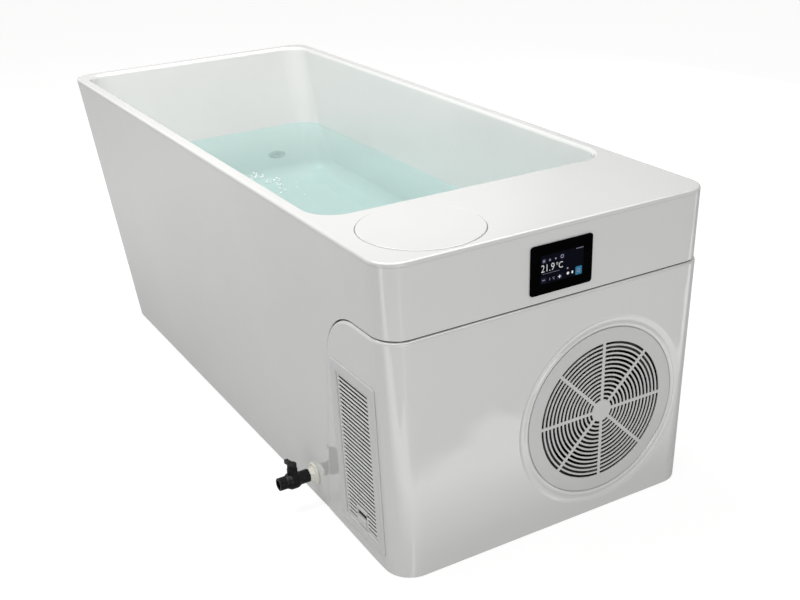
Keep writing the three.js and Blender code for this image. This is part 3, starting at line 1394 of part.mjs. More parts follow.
// Chiller
add('fan_duct', fanDuct(), STEEL);
add('motor_bracket', motorBracket(), STEEL);
add('fan_motor', fanMotor(), PAINTED_STEEL);
add('fan_rotor', fanRotor(), BLACK_PLASTIC);
add('condenser', condenser(), ALUMINIUM);
add('evaporator', evaporator(), BLACK_PLASTIC);
add('compressor', compressor(), PAINTED_STEEL);
add('compressor_pad', compressorPad(), RUBBER);
add('discharge_line', pipe(dischargeRoute, COPPER_RADIUS, COPPER_BEND), COPPER);
add('suction_line', pipe(suctionRoute, COPPER_RADIUS, COPPER_BEND), COPPER);
add('liquid_line', pipe(liquidRoute, COPPER_RADIUS, COPPER_BEND), COPPER);
add('pump', pump(), BLACK_PLASTIC);
add('pump_bracket', pumpBracket(), STEEL);
add('suction_hose', pipe(suctionHoseRoute, HOSE_RADIUS, HOSE_BEND), HOSE_PLASTIC);
add('pump_hose', pipe(pumpHoseRoute, HOSE_RADIUS, HOSE_BEND), HOSE_PLASTIC);
add('filter_hose', pipe(filterHoseRoute, HOSE_RADIUS, HOSE_BEND), HOSE_PLASTIC);
add('return_pipe', pipe(returnRoute, RETURN_RADIUS, HOSE_BEND), HOSE_PLASTIC);

export default tub;
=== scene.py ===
# %% [markdown]
# # A cold plunge tub with its chiller under the deck
# The tub was first made as plain solids with real joints. This script loads those solids as a fixed
# frame and dresses them: smooth acrylic, a real grille, a lit screen and water. Every length is in
# metres, x runs from the leaning head end to the chiller end, and z is up.

# %% Load the frame and keep its box
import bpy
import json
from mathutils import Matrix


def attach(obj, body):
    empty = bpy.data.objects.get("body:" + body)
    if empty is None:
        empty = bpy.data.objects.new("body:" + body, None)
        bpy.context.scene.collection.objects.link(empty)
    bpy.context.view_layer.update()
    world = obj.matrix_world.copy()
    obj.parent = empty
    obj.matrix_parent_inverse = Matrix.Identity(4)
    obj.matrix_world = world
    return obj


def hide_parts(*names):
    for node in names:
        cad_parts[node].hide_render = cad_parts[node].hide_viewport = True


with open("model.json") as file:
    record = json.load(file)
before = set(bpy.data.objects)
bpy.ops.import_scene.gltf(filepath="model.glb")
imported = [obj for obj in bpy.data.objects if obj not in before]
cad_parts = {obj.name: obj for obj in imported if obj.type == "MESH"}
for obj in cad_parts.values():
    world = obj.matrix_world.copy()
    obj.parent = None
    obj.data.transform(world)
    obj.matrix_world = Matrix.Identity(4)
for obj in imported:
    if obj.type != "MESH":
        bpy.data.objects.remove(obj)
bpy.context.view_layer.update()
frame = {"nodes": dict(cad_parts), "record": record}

import json
import math
import random
import bmesh
import bpy
from mathutils import Matrix, Quaternion, Vector

# %% [markdown]
# ## Camera
# The tub was photographed from its chiller end, a little above the rim. Its straight edges gave the
# angles, the distance and the lens. The small shift is there because the picture was cropped a
# little off centre, and the small roll because the camera was not held quite level.

# %% Camera
camera = bpy.data.objects.new("camera", bpy.data.cameras.new("camera"))
bpy.context.collection.objects.link(camera)
camera.data.sensor_width = 36.0
camera.data.lens = 51.593
camera.data.shift_x = 0.0334
camera.data.shift_y = 0.0104
azimuth, elevation, roll = (math.radians(angle) for angle in (61.423, 24.1, -2.3542))
backwards = Vector((
    math.sin(azimuth) * math.cos(elevation),
    -math.cos(azimuth) * math.cos(elevation),
    math.sin(elevation),
))
camera.rotation_mode = "QUATERNION"
camera.rotation_quaternion = (-backwards).to_track_quat("-Z", "Y") @ Quaternion((0, 0, 1), roll)
camera.location = (2.29746, -1.15348, 1.28505)
bpy.context.scene.camera = camera
print("camera at", tuple(round(value, 3) for value in camera.location))

# %% [markdown]
# ## Small helpers for nodes
# Materials are built from nodes, and each new node needs the same three lines. One short helper
# keeps the cells about the finish itself: it makes a node, sets its options and fills its sockets.

# %% Node helper
def node(tree, kind, sockets=None, **options):
    made = tree.nodes.new(kind)
    for option, value in options.items():
        setattr(made, option, value)
    for socket, value in (sockets or {}).items():
        made.inputs[socket].default_value = value
    return made


def new_material(name):
    material = bpy.data.materials.new(name)
    material.use_nodes = True
    tree = material.node_tree
    tree.nodes.clear()
    return material, tree, node(tree, "ShaderNodeOutputMaterial")

# %% [markdown]
# ## White studio
# A product picture stands on white paper. The background is white only for rays that come straight
# from the camera or through the water. The room that lights the tub is dimmer, so the white acrylic
# keeps its shading. Gloss needs something to mirror: towards the head end the room is lighter.

# %% World
def ray_kinds(tree, bounces):
    rays = node(tree, "ShaderNodeLightPath")
    direct = node(tree, "ShaderNodeMath", operation="MAXIMUM")
    tree.links.new(rays.outputs["Is Camera Ray"], direct.inputs[0])
    tree.links.new(rays.outputs["Is Transmission Ray"], direct.inputs[1])
    first = node(tree, "ShaderNodeMath", {1: bounces + 0.5}, operation="LESS_THAN")
    tree.links.new(rays.outputs["Ray Depth"], first.inputs[0])
    mirror = node(tree, "ShaderNodeMath", operation="MULTIPLY")
    tree.links.new(rays.outputs["Is Glossy Ray"], mirror.inputs[0])
    tree.links.new(first.outputs[0], mirror.inputs[1])
    return direct.outputs[0], mirror.outputs[0]


world = bpy.data.worlds.new("studio")
bpy.context.scene.world = world
world.use_nodes = True
sky = world.node_tree
sky.nodes.clear()
direct, glossy = ray_kinds(sky, 2)
looking = node(sky, "ShaderNodeTexCoord")
side = node(sky, "ShaderNodeVectorMath", {1: (-0.60, -0.80, 0.0)}, operation="DOT_PRODUCT")
window = node(sky, "ShaderNodeMapRange", {"From Min": -0.03, "From Max": 0.03, "To Min": 0.50, "To Max": 0.68})
upward = node(sky, "ShaderNodeSeparateXYZ")
ceiling = node(sky, "ShaderNodeMapRange", {"From Min": 0.70, "From Max": 0.80, "To Min": 0.0, "To Max": 3.0})
mirrored = node(sky, "ShaderNodeMath", operation="ADD")
level = node(sky, "ShaderNodeMix", {2: 0.30})
room = node(sky, "ShaderNodeBackground", {"Color": (1.0, 0.995, 0.98, 1)})
paper = node(sky, "ShaderNodeBackground", {"Color": (1, 1, 1, 1), "Strength": 1.0})
choose = node(sky, "ShaderNodeMixShader")
sky.links.new(looking.outputs["Generated"], side.inputs[0])
sky.links.new(side.outputs["Value"], window.inputs["Value"])
sky.links.new(looking.outputs["Generated"], upward.inputs[0])
sky.links.new(upward.outputs["Z"], ceiling.inputs["Value"])
sky.links.new(window.outputs["Result"], mirrored.inputs[0])
sky.links.new(ceiling.outputs["Result"], mirrored.inputs[1])
sky.links.new(glossy, level.inputs[0])
sky.links.new(mirrored.outputs[0], level.inputs[3])
sky.links.new(level.outputs[0], room.inputs["Strength"])
sky.links.new(direct, choose.inputs["Fac"])
sky.links.new(room.outputs[0], choose.inputs[1])
sky.links.new(paper.outputs[0], choose.inputs[2])
sky.links.new(choose.outputs[0], node(sky, "ShaderNodeOutputWorld").inputs["Surface"])
bpy.context.scene.view_settings.view_transform = "Standard"

# %% [markdown]
# The floor is pale paint that also glows for the camera, which keeps it white around the tub while
# the shadow under the tub stays. Only mirror rays, never the camera, see it glow in bright and dim
# patches and one thin bright ring: painted reflections that give the acrylic its mirror look.

# %% Floor
floor_mesh = bmesh.new()
bmesh.ops.create_grid(floor_mesh, x_segments=1, y_segments=1, size=12)
floor = bpy.data.objects.new("studio_floor", bpy.data.meshes.new("studio_floor"))
floor_mesh.to_mesh(floor.data)
floor_mesh.free()
bpy.context.collection.objects.link(floor)
paint, tree, out = new_material("studio paint")
direct, glossy = ray_kinds(tree, 1)
where = node(tree, "ShaderNodeTexCoord")
split = node(tree, "ShaderNodeSeparateXYZ")
ahead = node(tree, "ShaderNodeMapRange", {"From Min": 0.9, "From Max": 1.1})
cloud = node(tree, "ShaderNodeTexNoise", {"Scale": 2.6, "Detail": 2.0, "Distortion": 0.6})
wavy = node(tree, "ShaderNodeMath", {1: 0.9}, operation="MULTIPLY_ADD")
# painted reflections: bright and dim patches and a thin bright ring, seen on the floor only by mirror rays
patch = node(tree, "ShaderNodeMapRange", {"From Min": 1.70, "From Max": 1.80, "To Min": 1.25, "To Max": 0.55})
corner = node(tree, "ShaderNodeVectorMath", {1: (0.80, -0.30, 0)}, operation="SUBTRACT")
around = node(tree, "ShaderNodeTexGradient", gradient_type="RADIAL")
strip = node(tree, "ShaderNodeMath", {1: 0.476, 2: 0.012}, operation="COMPARE")
bright = node(tree, "ShaderNodeMath", {1: 0.8}, operation="MULTIPLY")
behind = node(tree, "ShaderNodeMapRange", {"From Min": -1.6, "From Max": -0.3, "To Min": 0.42, "To Max": 0.20})
mirrored = node(tree, "ShaderNodeMix")
painted_reflection = node(tree, "ShaderNodeMath", operation="MAXIMUM")
unseen = node(tree, "ShaderNodeMix", {2: 0.31})
amount = node(tree, "ShaderNodeMix", {3: 0.86})
pale = node(tree, "ShaderNodeBsdfDiffuse", {"Color": (0.3, 0.3, 0.3, 1)})
glow = node(tree, "ShaderNodeEmission", {"Color": (1, 1, 1, 1)})
both = node(tree, "ShaderNodeAddShader")
for source, target in (
    (where.outputs["Object"], split.inputs[0]), (split.outputs["X"], ahead.inputs["Value"]),
    (where.outputs["Object"], cloud.inputs["Vector"]), (cloud.outputs["Fac"], wavy.inputs[0]),
    (split.outputs["X"], wavy.inputs[2]), (wavy.outputs[0], patch.inputs["Value"]),
    (where.outputs["Object"], corner.inputs[0]), (corner.outputs["Vector"], around.inputs["Vector"]),
    (around.outputs["Fac"], strip.inputs[0]), (strip.outputs[0], bright.inputs[0]),
    (split.outputs["X"], behind.inputs["Value"]), (behind.outputs["Result"], mirrored.inputs[2]),
    (ahead.outputs["Result"], mirrored.inputs[0]), (patch.outputs["Result"], mirrored.inputs[3]),
    (mirrored.outputs[0], painted_reflection.inputs[0]), (bright.outputs[0], painted_reflection.inputs[1]),
    (glossy, unseen.inputs[0]), (painted_reflection.outputs[0], unseen.inputs[3]),
    (direct, amount.inputs[0]), (unseen.outputs[0], amount.inputs[2]),
    (amount.outputs[0], glow.inputs["Strength"]),
    (pale.outputs[0], both.inputs[0]), (glow.outputs[0], both.inputs[1]),
    (both.outputs[0], out.inputs["Surface"]),
):
    tree.links.new(source, target)
floor.data.materials.append(paint)

# %% [markdown]
# ## Lamps
# One long soft box hangs over the tub and makes the deck and the rim the brightest faces. It is
# narrow, so it reaches into the basin but hardly touches the outer walls. A weak second one stands at
# the chiller end.

# %% Lamps
def soft_box(name, watts, size, location, target, shows=False):
    lamp = bpy.data.objects.new(name, bpy.data.lights.new(name, "AREA"))
    lamp.data.shape = "RECTANGLE"
    lamp.data.size, lamp.data.size_y = size
    lamp.data.energy = watts
    lamp.location = location
    lamp.rotation_mode = "QUATERNION"
    lamp.rotation_quaternion = (Vector(target) - Vector(location)).to_track_quat("-Z", "Y")
    lamp.visible_glossy = shows
    bpy.context.collection.objects.link(lamp)


soft_box("top_light", 55, (1.6, 2.4), (-0.6, -0.75, 2.8), (-0.6, -0.45, 0.4))
soft_box("deck_light", 3.2, (0.8, 0.8), (0.9, -0.05, 1.7), (0.8, -0.05, 0.6))
soft_box("basin_light", 3, (0.12, 1.0), (0.1, -0.33, 1.7), (0.1, 0.31, 0.45))
soft_box("end_light", 13.5, (2.0, 0.9), (3.4, -0.6, 0.5), (0.6, 0.05, 0.25), True)
soft_box("near_light", 1.3, (0.8, 0.8), (1.1, -1.6, 0.3), (0.62, -0.35, 0.05))
soft_box("far_light", 16, (2.4, 0.4), (-0.6, 3.2, 0.35), (-0.1, 0.35, 0.3))

# %% [markdown]
# ## Shared effects
# No real surface is one flat colour. Five small node groups give the differences: a cloudy tone, the
# faint marks of a cloth, the grain of a mould, the lines of rolled or sawn stock and a grid of dots.
# They are measured on the object itself, so they stay in place when a part moves.

# %% Node groups
def join(tree, *links):
    for source, output, target, entry in links:
        tree.links.new(source.outputs[output], target.inputs[entry])


def new_group(name, output, **inputs):
    tree = bpy.data.node_groups.new(name, "ShaderNodeTree")
    for label, value in inputs.items():
        kind = "NodeSocketVector" if isinstance(value, tuple) else "NodeSocketFloat"
        tree.interface.new_socket(label, in_out="INPUT", socket_type=kind).default_value = value
    tree.interface.new_socket(output, in_out="OUTPUT", socket_type="NodeSocketFloat")
    return tree, node(tree, "NodeGroupInput"), node(tree, "NodeGroupOutput"), node(tree, "ShaderNodeTexCoord")


cloudy, given, result, here = new_group("cloudy tone", "Tone", Scale=3.0)
noise = node(cloudy, "ShaderNodeTexNoise", {"Detail": 4.0, "Roughness": 0.55})
spread = node(cloudy, "ShaderNodeMapRange", {"From Min": 0.35, "From Max": 0.65})
join(cloudy, (here, "Object", noise, "Vector"), (given, "Scale", noise, "Scale"),
     (noise, "Fac", spread, "Value"), (spread, "Result", result, "Tone"))

wiped, given, result, here = new_group("cloth marks", "Marks", Scale=4.0)
noise = node(wiped, "ShaderNodeTexNoise", {"Detail": 3.0, "Roughness": 0.6, "Distortion": 1.6})
spread = node(wiped, "ShaderNodeMapRange", {"From Min": 0.3, "From Max": 0.7})
join(wiped, (here, "Object", noise, "Vector"), (given, "Scale", noise, "Scale"),
     (noise, "Fac", spread, "Value"), (spread, "Result", result, "Marks"))

grain, given, result, here = new_group("moulded grain", "Height", Scale=600.0)
pits = node(grain, "ShaderNodeTexVoronoi", feature="SMOOTH_F1")
join(grain, (here, "Object", pits, "Vector"), (given, "Scale", pits, "Scale"),
     (pits, "Distance", result, "Height"))

lines, given, result, here = new_group("drawn lines", "Height", Stretch=(4.0, 400.0, 400.0))
pull = node(lines, "ShaderNodeVectorMath", operation="MULTIPLY")
noise = node(lines, "ShaderNodeTexNoise", {"Scale": 1.0, "Detail": 3.0})
join(lines, (here, "Object", pull, 0), (given, "Stretch", pull, 1),
     (pull, "Vector", noise, "Vector"), (noise, "Fac", result, "Height"))

dots, given, result, here = new_group("dot grid", "Dots", Scale=2600.0)
squares = node(dots, "ShaderNodeTexChecker")
join(dots, (here, "Object", squares, "Vector"), (given, "Scale", squares, "Scale"),
     (squares, "Fac", result, "Dots"))
print("node groups", [tree.name for tree in (cloudy, wiped, grain, lines, dots)])

# %% [markdown]
# ## Finishes
# Every finish mixes two near colours by a tone, lets the roughness follow the cloth marks and has a
# very shallow relief. White acrylic is almost a mirror with a slow wave in it, because the sheet was
# drawn hot over its mould. The plastics have a fine grain, and the metals show how they were drawn.

# %% Finishes
def shared(tree, group, sockets=None):
    return node(tree, "ShaderNodeGroup", sockets, node_tree=group)


def finish(name, dark, light, rough, tone, relief, strength, depth, plain=None):
    material, tree, out = new_material(name)
    shader = node(tree, "ShaderNodeBsdfPrincipled", plain)
    colour = node(tree, "ShaderNodeMix", {6: (*dark, 1), 7: (*light, 1)}, data_type="RGBA")
    gloss = node(tree, "ShaderNodeMapRange", {"To Min": rough[0], "To Max": rough[1]})
    bump = node(tree, "ShaderNodeBump", {"Strength": strength, "Distance": depth})
    join(tree, (shared(tree, *tone), 0, colour, 0), (colour, 2, shader, "Base Color"),
         (shared(tree, wiped), 0, gloss, "Value"), (gloss, "Result", shader, "Roughness"),
         (shared(tree, *relief), 0, bump, "Height"), (bump, "Normal", shader, "Normal"),
         (shader, "BSDF", out, "Surface"))
    return material


broad, fine = (cloudy, {"Scale": 2.5}), (cloudy, {"Scale": 30.0})
skin, pores = (grain, {"Scale": 900.0}), (grain, {"Scale": 260.0})
drawn, sawn = (lines,), (lines, {"Stretch": (3.0, 90.0, 90.0)})
pleats = (lines, {"Stretch": (260.0, 260.0, 3.0)})
metal = {"Metallic": 1.0}
FINISH = {
    "acrylic": finish("white acrylic", (0.85, 0.852, 0.84), (0.875, 0.877, 0.867), (0.015, 0.045),
                      broad, (cloudy, {"Scale": 4.0}), 0.06, 0.003,
                      {"IOR": 1.49, "Specular IOR Level": 0.8, "Coat Weight": 1.0}),
    "grey_plastic": finish("grey plastic", (0.74, 0.745, 0.74), (0.78, 0.785, 0.78), (0.32, 0.42),
                           broad, skin, 0.10, 0.0002),
    "black_plastic": finish("black plastic", (0.003, 0.003, 0.0035), (0.006, 0.006, 0.0065), (0.26, 0.38),
                            fine, skin, 0.12, 0.0002, {"Specular IOR Level": 0.25}),
    "off_white_plastic": finish("off white plastic", (0.92, 0.91, 0.83), (0.95, 0.94, 0.87), (0.25, 0.38),
                                fine, skin, 0.08, 0.0002),
    "screen_glass": finish("black glass", (0.001, 0.001, 0.0012), (0.002, 0.002, 0.0025), (0.04, 0.10),
                           fine, (cloudy, {"Scale": 8.0}), 0.01, 0.0005, {"Specular IOR Level": 0.005}),
    "rubber": finish("rubber", (0.012, 0.012, 0.012), (0.024, 0.024, 0.023), (0.62, 0.80),
                     fine, pores, 0.25, 0.0004),
    "steel": finish("stainless steel", (0.48, 0.48, 0.47), (0.60, 0.60, 0.59), (0.24, 0.38),
                    fine, drawn, 0.12, 0.0002, metal),
    "painted_steel": finish("powder coat", (0.030, 0.032, 0.035), (0.048, 0.050, 0.053), (0.38, 0.50),
                            broad, pores, 0.18, 0.0003),
    "aluminium": finish("aluminium", (0.66, 0.67, 0.68), (0.78, 0.79, 0.80), (0.28, 0.42),
                        fine, drawn, 0.12, 0.0002, metal),
    "copper": finish("copper", (0.55, 0.27, 0.16), (0.80, 0.46, 0.32), (0.20, 0.38),
                     fine, drawn, 0.08, 0.0002, metal),
    "foam": finish("foam", (0.66, 0.58, 0.36), (0.80, 0.74, 0.54), (0.80, 0.95),
                   fine, pores, 0.6, 0.002),
    "plywood": finish("plywood", (0.40, 0.26, 0.13), (0.60, 0.43, 0.25), (0.55, 0.72),
                      sawn, sawn, 0.2, 0.0004),
    "filter_paper": finish("filter paper", (0.62, 0.64, 0.64), (0.80, 0.81, 0.80), (0.75, 0.9),
                           pleats, pleats, 0.7, 0.003),
    "hose_plastic": finish("hose plastic", (0.52, 0.55, 0.55), (0.64, 0.66, 0.66), (0.30, 0.42),
                           broad, skin, 0.08, 0.0002),
}
# near-black finish for the fan duct and its bracket: painted shade behind the grille
shade_black_sheet = finish("shade black sheet steel", (0.008, 0.008, 0.009), (0.016, 0.016, 0.017), (0.35, 0.5),
                     broad, drawn, 0.1, 0.0002)
# near-black mat behind the louvre: painted shade that makes the slots read dark
shade_filter_mat = finish("shade filter mat", (0.006, 0.006, 0.006), (0.03, 0.03, 0.03), (0.85, 0.95),
                    (lines, {"Stretch": (500.0, 500.0, 60.0)}), pores, 0.7, 0.002)
# paler copy of the grey plastic for the louvre slats: painted light that makes them brighter than the frame
slat_painted_light_plastic = finish("slat painted light plastic", (0.92, 0.925, 0.92), (0.96, 0.965, 0.96), (0.20, 0.30),
                      broad, skin, 0.10, 0.0002)
mid_grey = finish("mid grey plastic", (0.40, 0.43, 0.43), (0.50, 0.53, 0.53), (0.30, 0.42),
                  broad, skin, 0.10, 0.0002)
print("finishes", len(FINISH) + 4)

# %% [markdown]
# ## Helpers for shapes
# Most of the tub is lofted: a rounded rectangle is drawn at several heights and the rings are
# bridged. A ring starts as one square whose corners are bevelled, which gives true arcs. Round
# fittings are turned instead, from half of their section. Both ways keep the corners as smooth as
# wanted, where the plain solids show flat facets.

# %% Rings and lofts
def outline(mesh, x0, x1, half, corner, z, steps=12):
    square = bmesh.ops.create_grid(mesh, x_segments=1, y_segments=1, size=0.5)["verts"]
    bmesh.ops.scale(mesh, vec=(x1 - x0, 2 * half, 1), verts=square)
    bmesh.ops.translate(mesh, vec=((x0 + x1) / 2, 0, z), verts=square)
    arcs = bmesh.ops.bevel(
        mesh, geom=square, offset=corner, offset_type="OFFSET", segments=steps,
        profile=0.5, affect="VERTICES", material=-1,
    )
    edges = list({edge for vert in arcs["verts"] for edge in vert.link_edges})
    faces = list({face for edge in edges for face in edge.link_faces})
    bmesh.ops.delete(mesh, geom=faces, context="FACES_ONLY")
    return edges


def loft(mesh, sections, steps=12, capped=False):
    for lower, upper in zip(sections, sections[1:]):
        edges = outline(mesh, *lower, steps) + outline(mesh, *upper, steps)
        bmesh.ops.bridge_loops(mesh, edges=edges)
    for end in (sections[0], sections[-1]) if capped else ():
        bmesh.ops.contextual_create(mesh, geom=outline(mesh, *end, steps))
    bmesh.ops.remove_doubles(mesh, verts=mesh.verts[:], dist=1e-6)


def arc(steps=6):
    angles = [math.pi / 2 * step / steps for step in range(steps + 1)]
    return [(math.sin(angle), math.cos(angle)) for angle in angles]

# %% Turned and flat shapes
def turned(mesh, profile, place=Matrix(), closed=False, rounds=None, steps=96):
    before = set(mesh.verts)
    chain = [mesh.verts.new((radius, 0, height)) for radius, height in profile]
    ends = chain[1:] + chain[:1] if closed else chain[1:]
    for pair in zip(chain, ends):
        mesh.edges.new(pair)
    for index, radius in (rounds or {}).items():
        bmesh.ops.bevel(
            mesh, geom=[chain[index]], offset=radius, offset_type="OFFSET", segments=4,
            profile=0.5, affect="VERTICES", material=-1,
        )
    section = [vert for vert in mesh.verts if vert not in before]
    edges = list({edge for vert in section for edge in vert.link_edges})
    bmesh.ops.spin(
        mesh, geom=section + edges, cent=(0, 0, 0), axis=(0, 0, 1),
        angle=2 * math.pi, steps=steps, use_merge=True,
    )
    made = [vert for vert in mesh.verts if vert not in before]
    bmesh.ops.remove_doubles(mesh, verts=made, dist=1e-6)
    made = [vert for vert in mesh.verts if vert not in before]
    bmesh.ops.transform(mesh, matrix=place, verts=made)


def raise_face(mesh, face, height):
    raised = bmesh.ops.extrude_face_region(mesh, geom=[face])["geom"]
    verts = [item for item in raised if isinstance(item, bmesh.types.BMVert)]
    bmesh.ops.translate(mesh, vec=(0, 0, height), verts=verts)
    return verts


def plate(mesh, width, height, corner, low, high, edge, place=Matrix(), steps=8):
    before = set(mesh.verts)
    ring = outline(mesh, -width / 2, width / 2, height / 2, corner, low, steps)
    face = bmesh.ops.contextual_create(mesh, geom=ring)["faces"][0]
    top = set(raise_face(mesh, face, high - low))
    rim = [item for item in mesh.edges if item.verts[0] in top and item.verts[1] in top]
    bmesh.ops.bevel(
        mesh, geom=rim, offset=edge, offset_type="OFFSET", segments=3,
        profile=0.5, affect="EDGES", material=-1,
    )
    made = [vert for vert in mesh.verts if vert not in before]
    bmesh.ops.transform(mesh, matrix=place, verts=made)


def block(mesh, low, high, edge, place=Matrix(), segments=2):
    low, high = Vector(low), Vector(high)
    before = set(mesh.verts)
    cube = bmesh.ops.create_cube(mesh, size=1.0)["verts"]
    bmesh.ops.scale(mesh, vec=high - low, verts=cube)
    bmesh.ops.translate(mesh, vec=(low + high) / 2, verts=cube)
    edges = list({item for vert in cube for item in vert.link_edges})
    if edge:
        bmesh.ops.bevel(
            mesh, geom=edges, offset=edge, offset_type="OFFSET", segments=segments,
            profile=0.5, affect="EDGES", material=-1,
        )
    made = [vert for vert in mesh.verts if vert not in before]
    bmesh.ops.transform(mesh, matrix=place, verts=made)

# %% [markdown]
# ## From mesh to piece
# A finished piece sits at the origin with its place in its mesh, rides on one body of the frame and
# stands for the plain solid that it replaces. Openings are cut with booleans, as in a workshop: a
# tool solid is made, used once and thrown away.

# %% Pieces and cuts
def workpiece(name, mesh):
    bmesh.ops.recalc_face_normals(mesh, faces=mesh.faces[:])
    data = bpy.data.meshes.new(name)
    mesh.to_mesh(data)
    mesh.free()
    item = bpy.data.objects.new(name, data)
    bpy.context.collection.objects.link(item)
    return item


def machine(item, tool, operation="DIFFERENCE"):
    step = item.modifiers.new("cut", "BOOLEAN")
    step.operation = operation
    step.solver = "EXACT"
    step.object = tool
    graph = bpy.context.evaluated_depsgraph_get()
    before = item.data
    result = bpy.data.meshes.new_from_object(item.evaluated_get(graph))
    item.modifiers.clear()
    item.data = result
    bpy.data.meshes.remove(before)
    bpy.data.objects.remove(tool)


def soften(item, width, wanted, angle=50, segments=3):
    mesh = bmesh.new()
    mesh.from_mesh(item.data)
    edges = [
        edge for edge in mesh.edges
        if len(edge.link_faces) == 2
        and edge.calc_face_angle(0) > math.radians(angle)
        and wanted((edge.verts[0].co + edge.verts[1].co) / 2)
    ]
    bmesh.ops.bevel(
        mesh, geom=edges, offset=width, offset_type="OFFSET", segments=segments,
        profile=0.5, affect="EDGES", clamp_overlap=False, material=-1,
    )
    mesh.to_mesh(item.data)
    mesh.free()
    print(item.name, "softened edges", len(edges))


def dress(item, body, slot, *nodes, sharp=35):
    item.data.shade_smooth()
    item.data.set_sharp_from_angle(angle=math.radians(sharp))
    even = item.modifiers.new("even shading", "WEIGHTED_NORMAL")
    even.keep_sharp = True
    item.data.materials.clear()
    item.data.materials.append(FINISH[slot])
    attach(item, body)
    if nodes:
        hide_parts(*nodes)
    print(item.name, len(item.data.vertices), "points, on", body)
    return item


def along(point, direction):
    return Matrix.Translation(point) @ Vector(direction).to_track_quat("Z", "Y").to_matrix().to_4x4()


def rod(radius, low, high, place=Matrix(), steps=48):
    mesh = bmesh.new()
    turned(mesh, [(0, low), (radius, low), (radius, high), (0, high)], place, steps=steps)
    return workpiece("tool", mesh)

# %% [markdown]
# ## Basin, rim and deck
# The basin, its rim and the deck over the chiller are one sheet of acrylic, drawn over a mould. So
# one loft makes all of it: up the back of the wall, out under the rim, round the edge, across the
# deck, down into the basin and round the fillet of the floor.

# %% Sections of the tub
RIM, FLOOR, WALL = 0.612, 0.1129, 0.006


def tub_at(z, inset=0.0):
    share = (RIM - z) / RIM
    return -0.850 + 0.269 * share + inset, 0.850 - inset, 0.350 - 0.018 * share - inset, 0.050 - inset, z


def basin_at(z, inset=0.0):
    share = (RIM - z) / (RIM - FLOOR)
    head, front = -0.822 + 0.250 * share, 0.587 - 0.020 * share
    return head + inset, front - inset, 0.322 - 0.045 * share - inset, 0.060 - inset, z

# %% Basin sheet
OUTER_EDGE, INNER_EDGE, FILLET = 0.005, 0.008, 0.045
sheet = bmesh.new()
under = FLOOR - WALL
back_fillet = FILLET + WALL
sections = [basin_at(under + back_fillet * (1 - c), back_fillet * (1 - s) - WALL) for s, c in arc()]
sections += [basin_at(0.604, -WALL), tub_at(0.604)]
sections += [tub_at(RIM - OUTER_EDGE * (1 - s), OUTER_EDGE * (1 - c)) for s, c in arc(5)]
sections += [basin_at(RIM - INNER_EDGE * (1 - c), -INNER_EDGE * (1 - s)) for s, c in arc()]
sections += [basin_at(FLOOR + FILLET * (1 - c), FILLET * (1 - s)) for s, c in reversed(arc(9))]
loft(sheet, sections, capped=True)
basin = workpiece("basin", sheet)
print("sections of the basin", len(sections))

# %% [markdown]
# The lid sits in a round seat in the deck, and three fittings pass through the wall. Each needs a
# real hole, so that one sees into its bore and not onto white acrylic.

# %% Seat and holes in the basin
LID = Vector((0.726, -0.199, 0))
head_tilt, front_tilt = math.atan(0.250 / 0.4991), math.atan(0.020 / 0.4991)
jet_place = along((basin_at(0.225)[0], 0.145, 0.225), (math.cos(head_tilt), 0, math.sin(head_tilt)))
suction_place = along((basin_at(0.197)[1], -0.1866, 0.197), (-math.cos(front_tilt), 0, math.sin(front_tilt)))
drain_place = Matrix.Translation((0.472, -0.180, FLOOR))
at_lid = Matrix.Translation(LID)
machine(basin, rod(0.117, 0.598, 0.608, at_lid, 128), "UNION")
machine(basin, rod(0.1138, 0.603, 0.65, at_lid, 128))
machine(basin, rod(0.103, 0.58, 0.62, at_lid, 128))
for place in (jet_place, suction_place, drain_place):
    machine(basin, rod(0.0135, -0.02, 0.02, place))
soften(basin, 0.0012, lambda p: abs((p - LID).xy.length - 0.1138) < 0.002 and p.z > 0.611)
dress(basin, "tub", "acrylic", "basin_shell")

# %% [markdown]
# ## Skirt and apron
# The outside is a second moulding that hangs from the rim. At the chiller end it is cut away for
# the cover, apart from the apron band that carries the screen. A thin black rubber strip lies behind the
# cut and the cover closes against it; its black is painted shade for the shadow in the gap, so the gap is a thin dark
# line.

# %% Shell and cover outline
PARTING, REAR, LEAN, COVER_CORNER = 0.472, 0.578, 0.066, 0.110


def shell(name, z0, z1, outer, inner):
    mesh = bmesh.new()
    sections = [tub_at(z0, outer), tub_at(z1, outer), tub_at(z1, inner), tub_at(z0, inner)]
    loft(mesh, sections + sections[:1])
    return workpiece(name, mesh)


def cover_block(grow):
    mesh = bmesh.new()
    slant = math.hypot(LEAN, PARTING)
    rear = lambda z: REAR + (z * LEAN - grow * slant) / PARTING
    low, top = -0.02, PARTING + grow
    corners = [(1.5, low), (rear(low), low), (rear(top), top), (1.5, top)]
    side = mesh.faces.new([mesh.verts.new((x, -0.7, z)) for x, z in corners])
    turn = math.atan2(PARTING, LEAN)
    bmesh.ops.bevel(
        mesh, geom=[side.verts[2]], offset=(COVER_CORNER + grow) * math.tan(turn / 2),
        offset_type="OFFSET", segments=24, profile=0.5, affect="VERTICES", material=-1,
    )
    raised = bmesh.ops.extrude_face_region(mesh, geom=mesh.faces[:])["geom"]
    verts = [item for item in raised if isinstance(item, bmesh.types.BMVert)]
    bmesh.ops.translate(mesh, vec=(0, 1.4, 0), verts=verts)
    return workpiece("cover block", mesh)

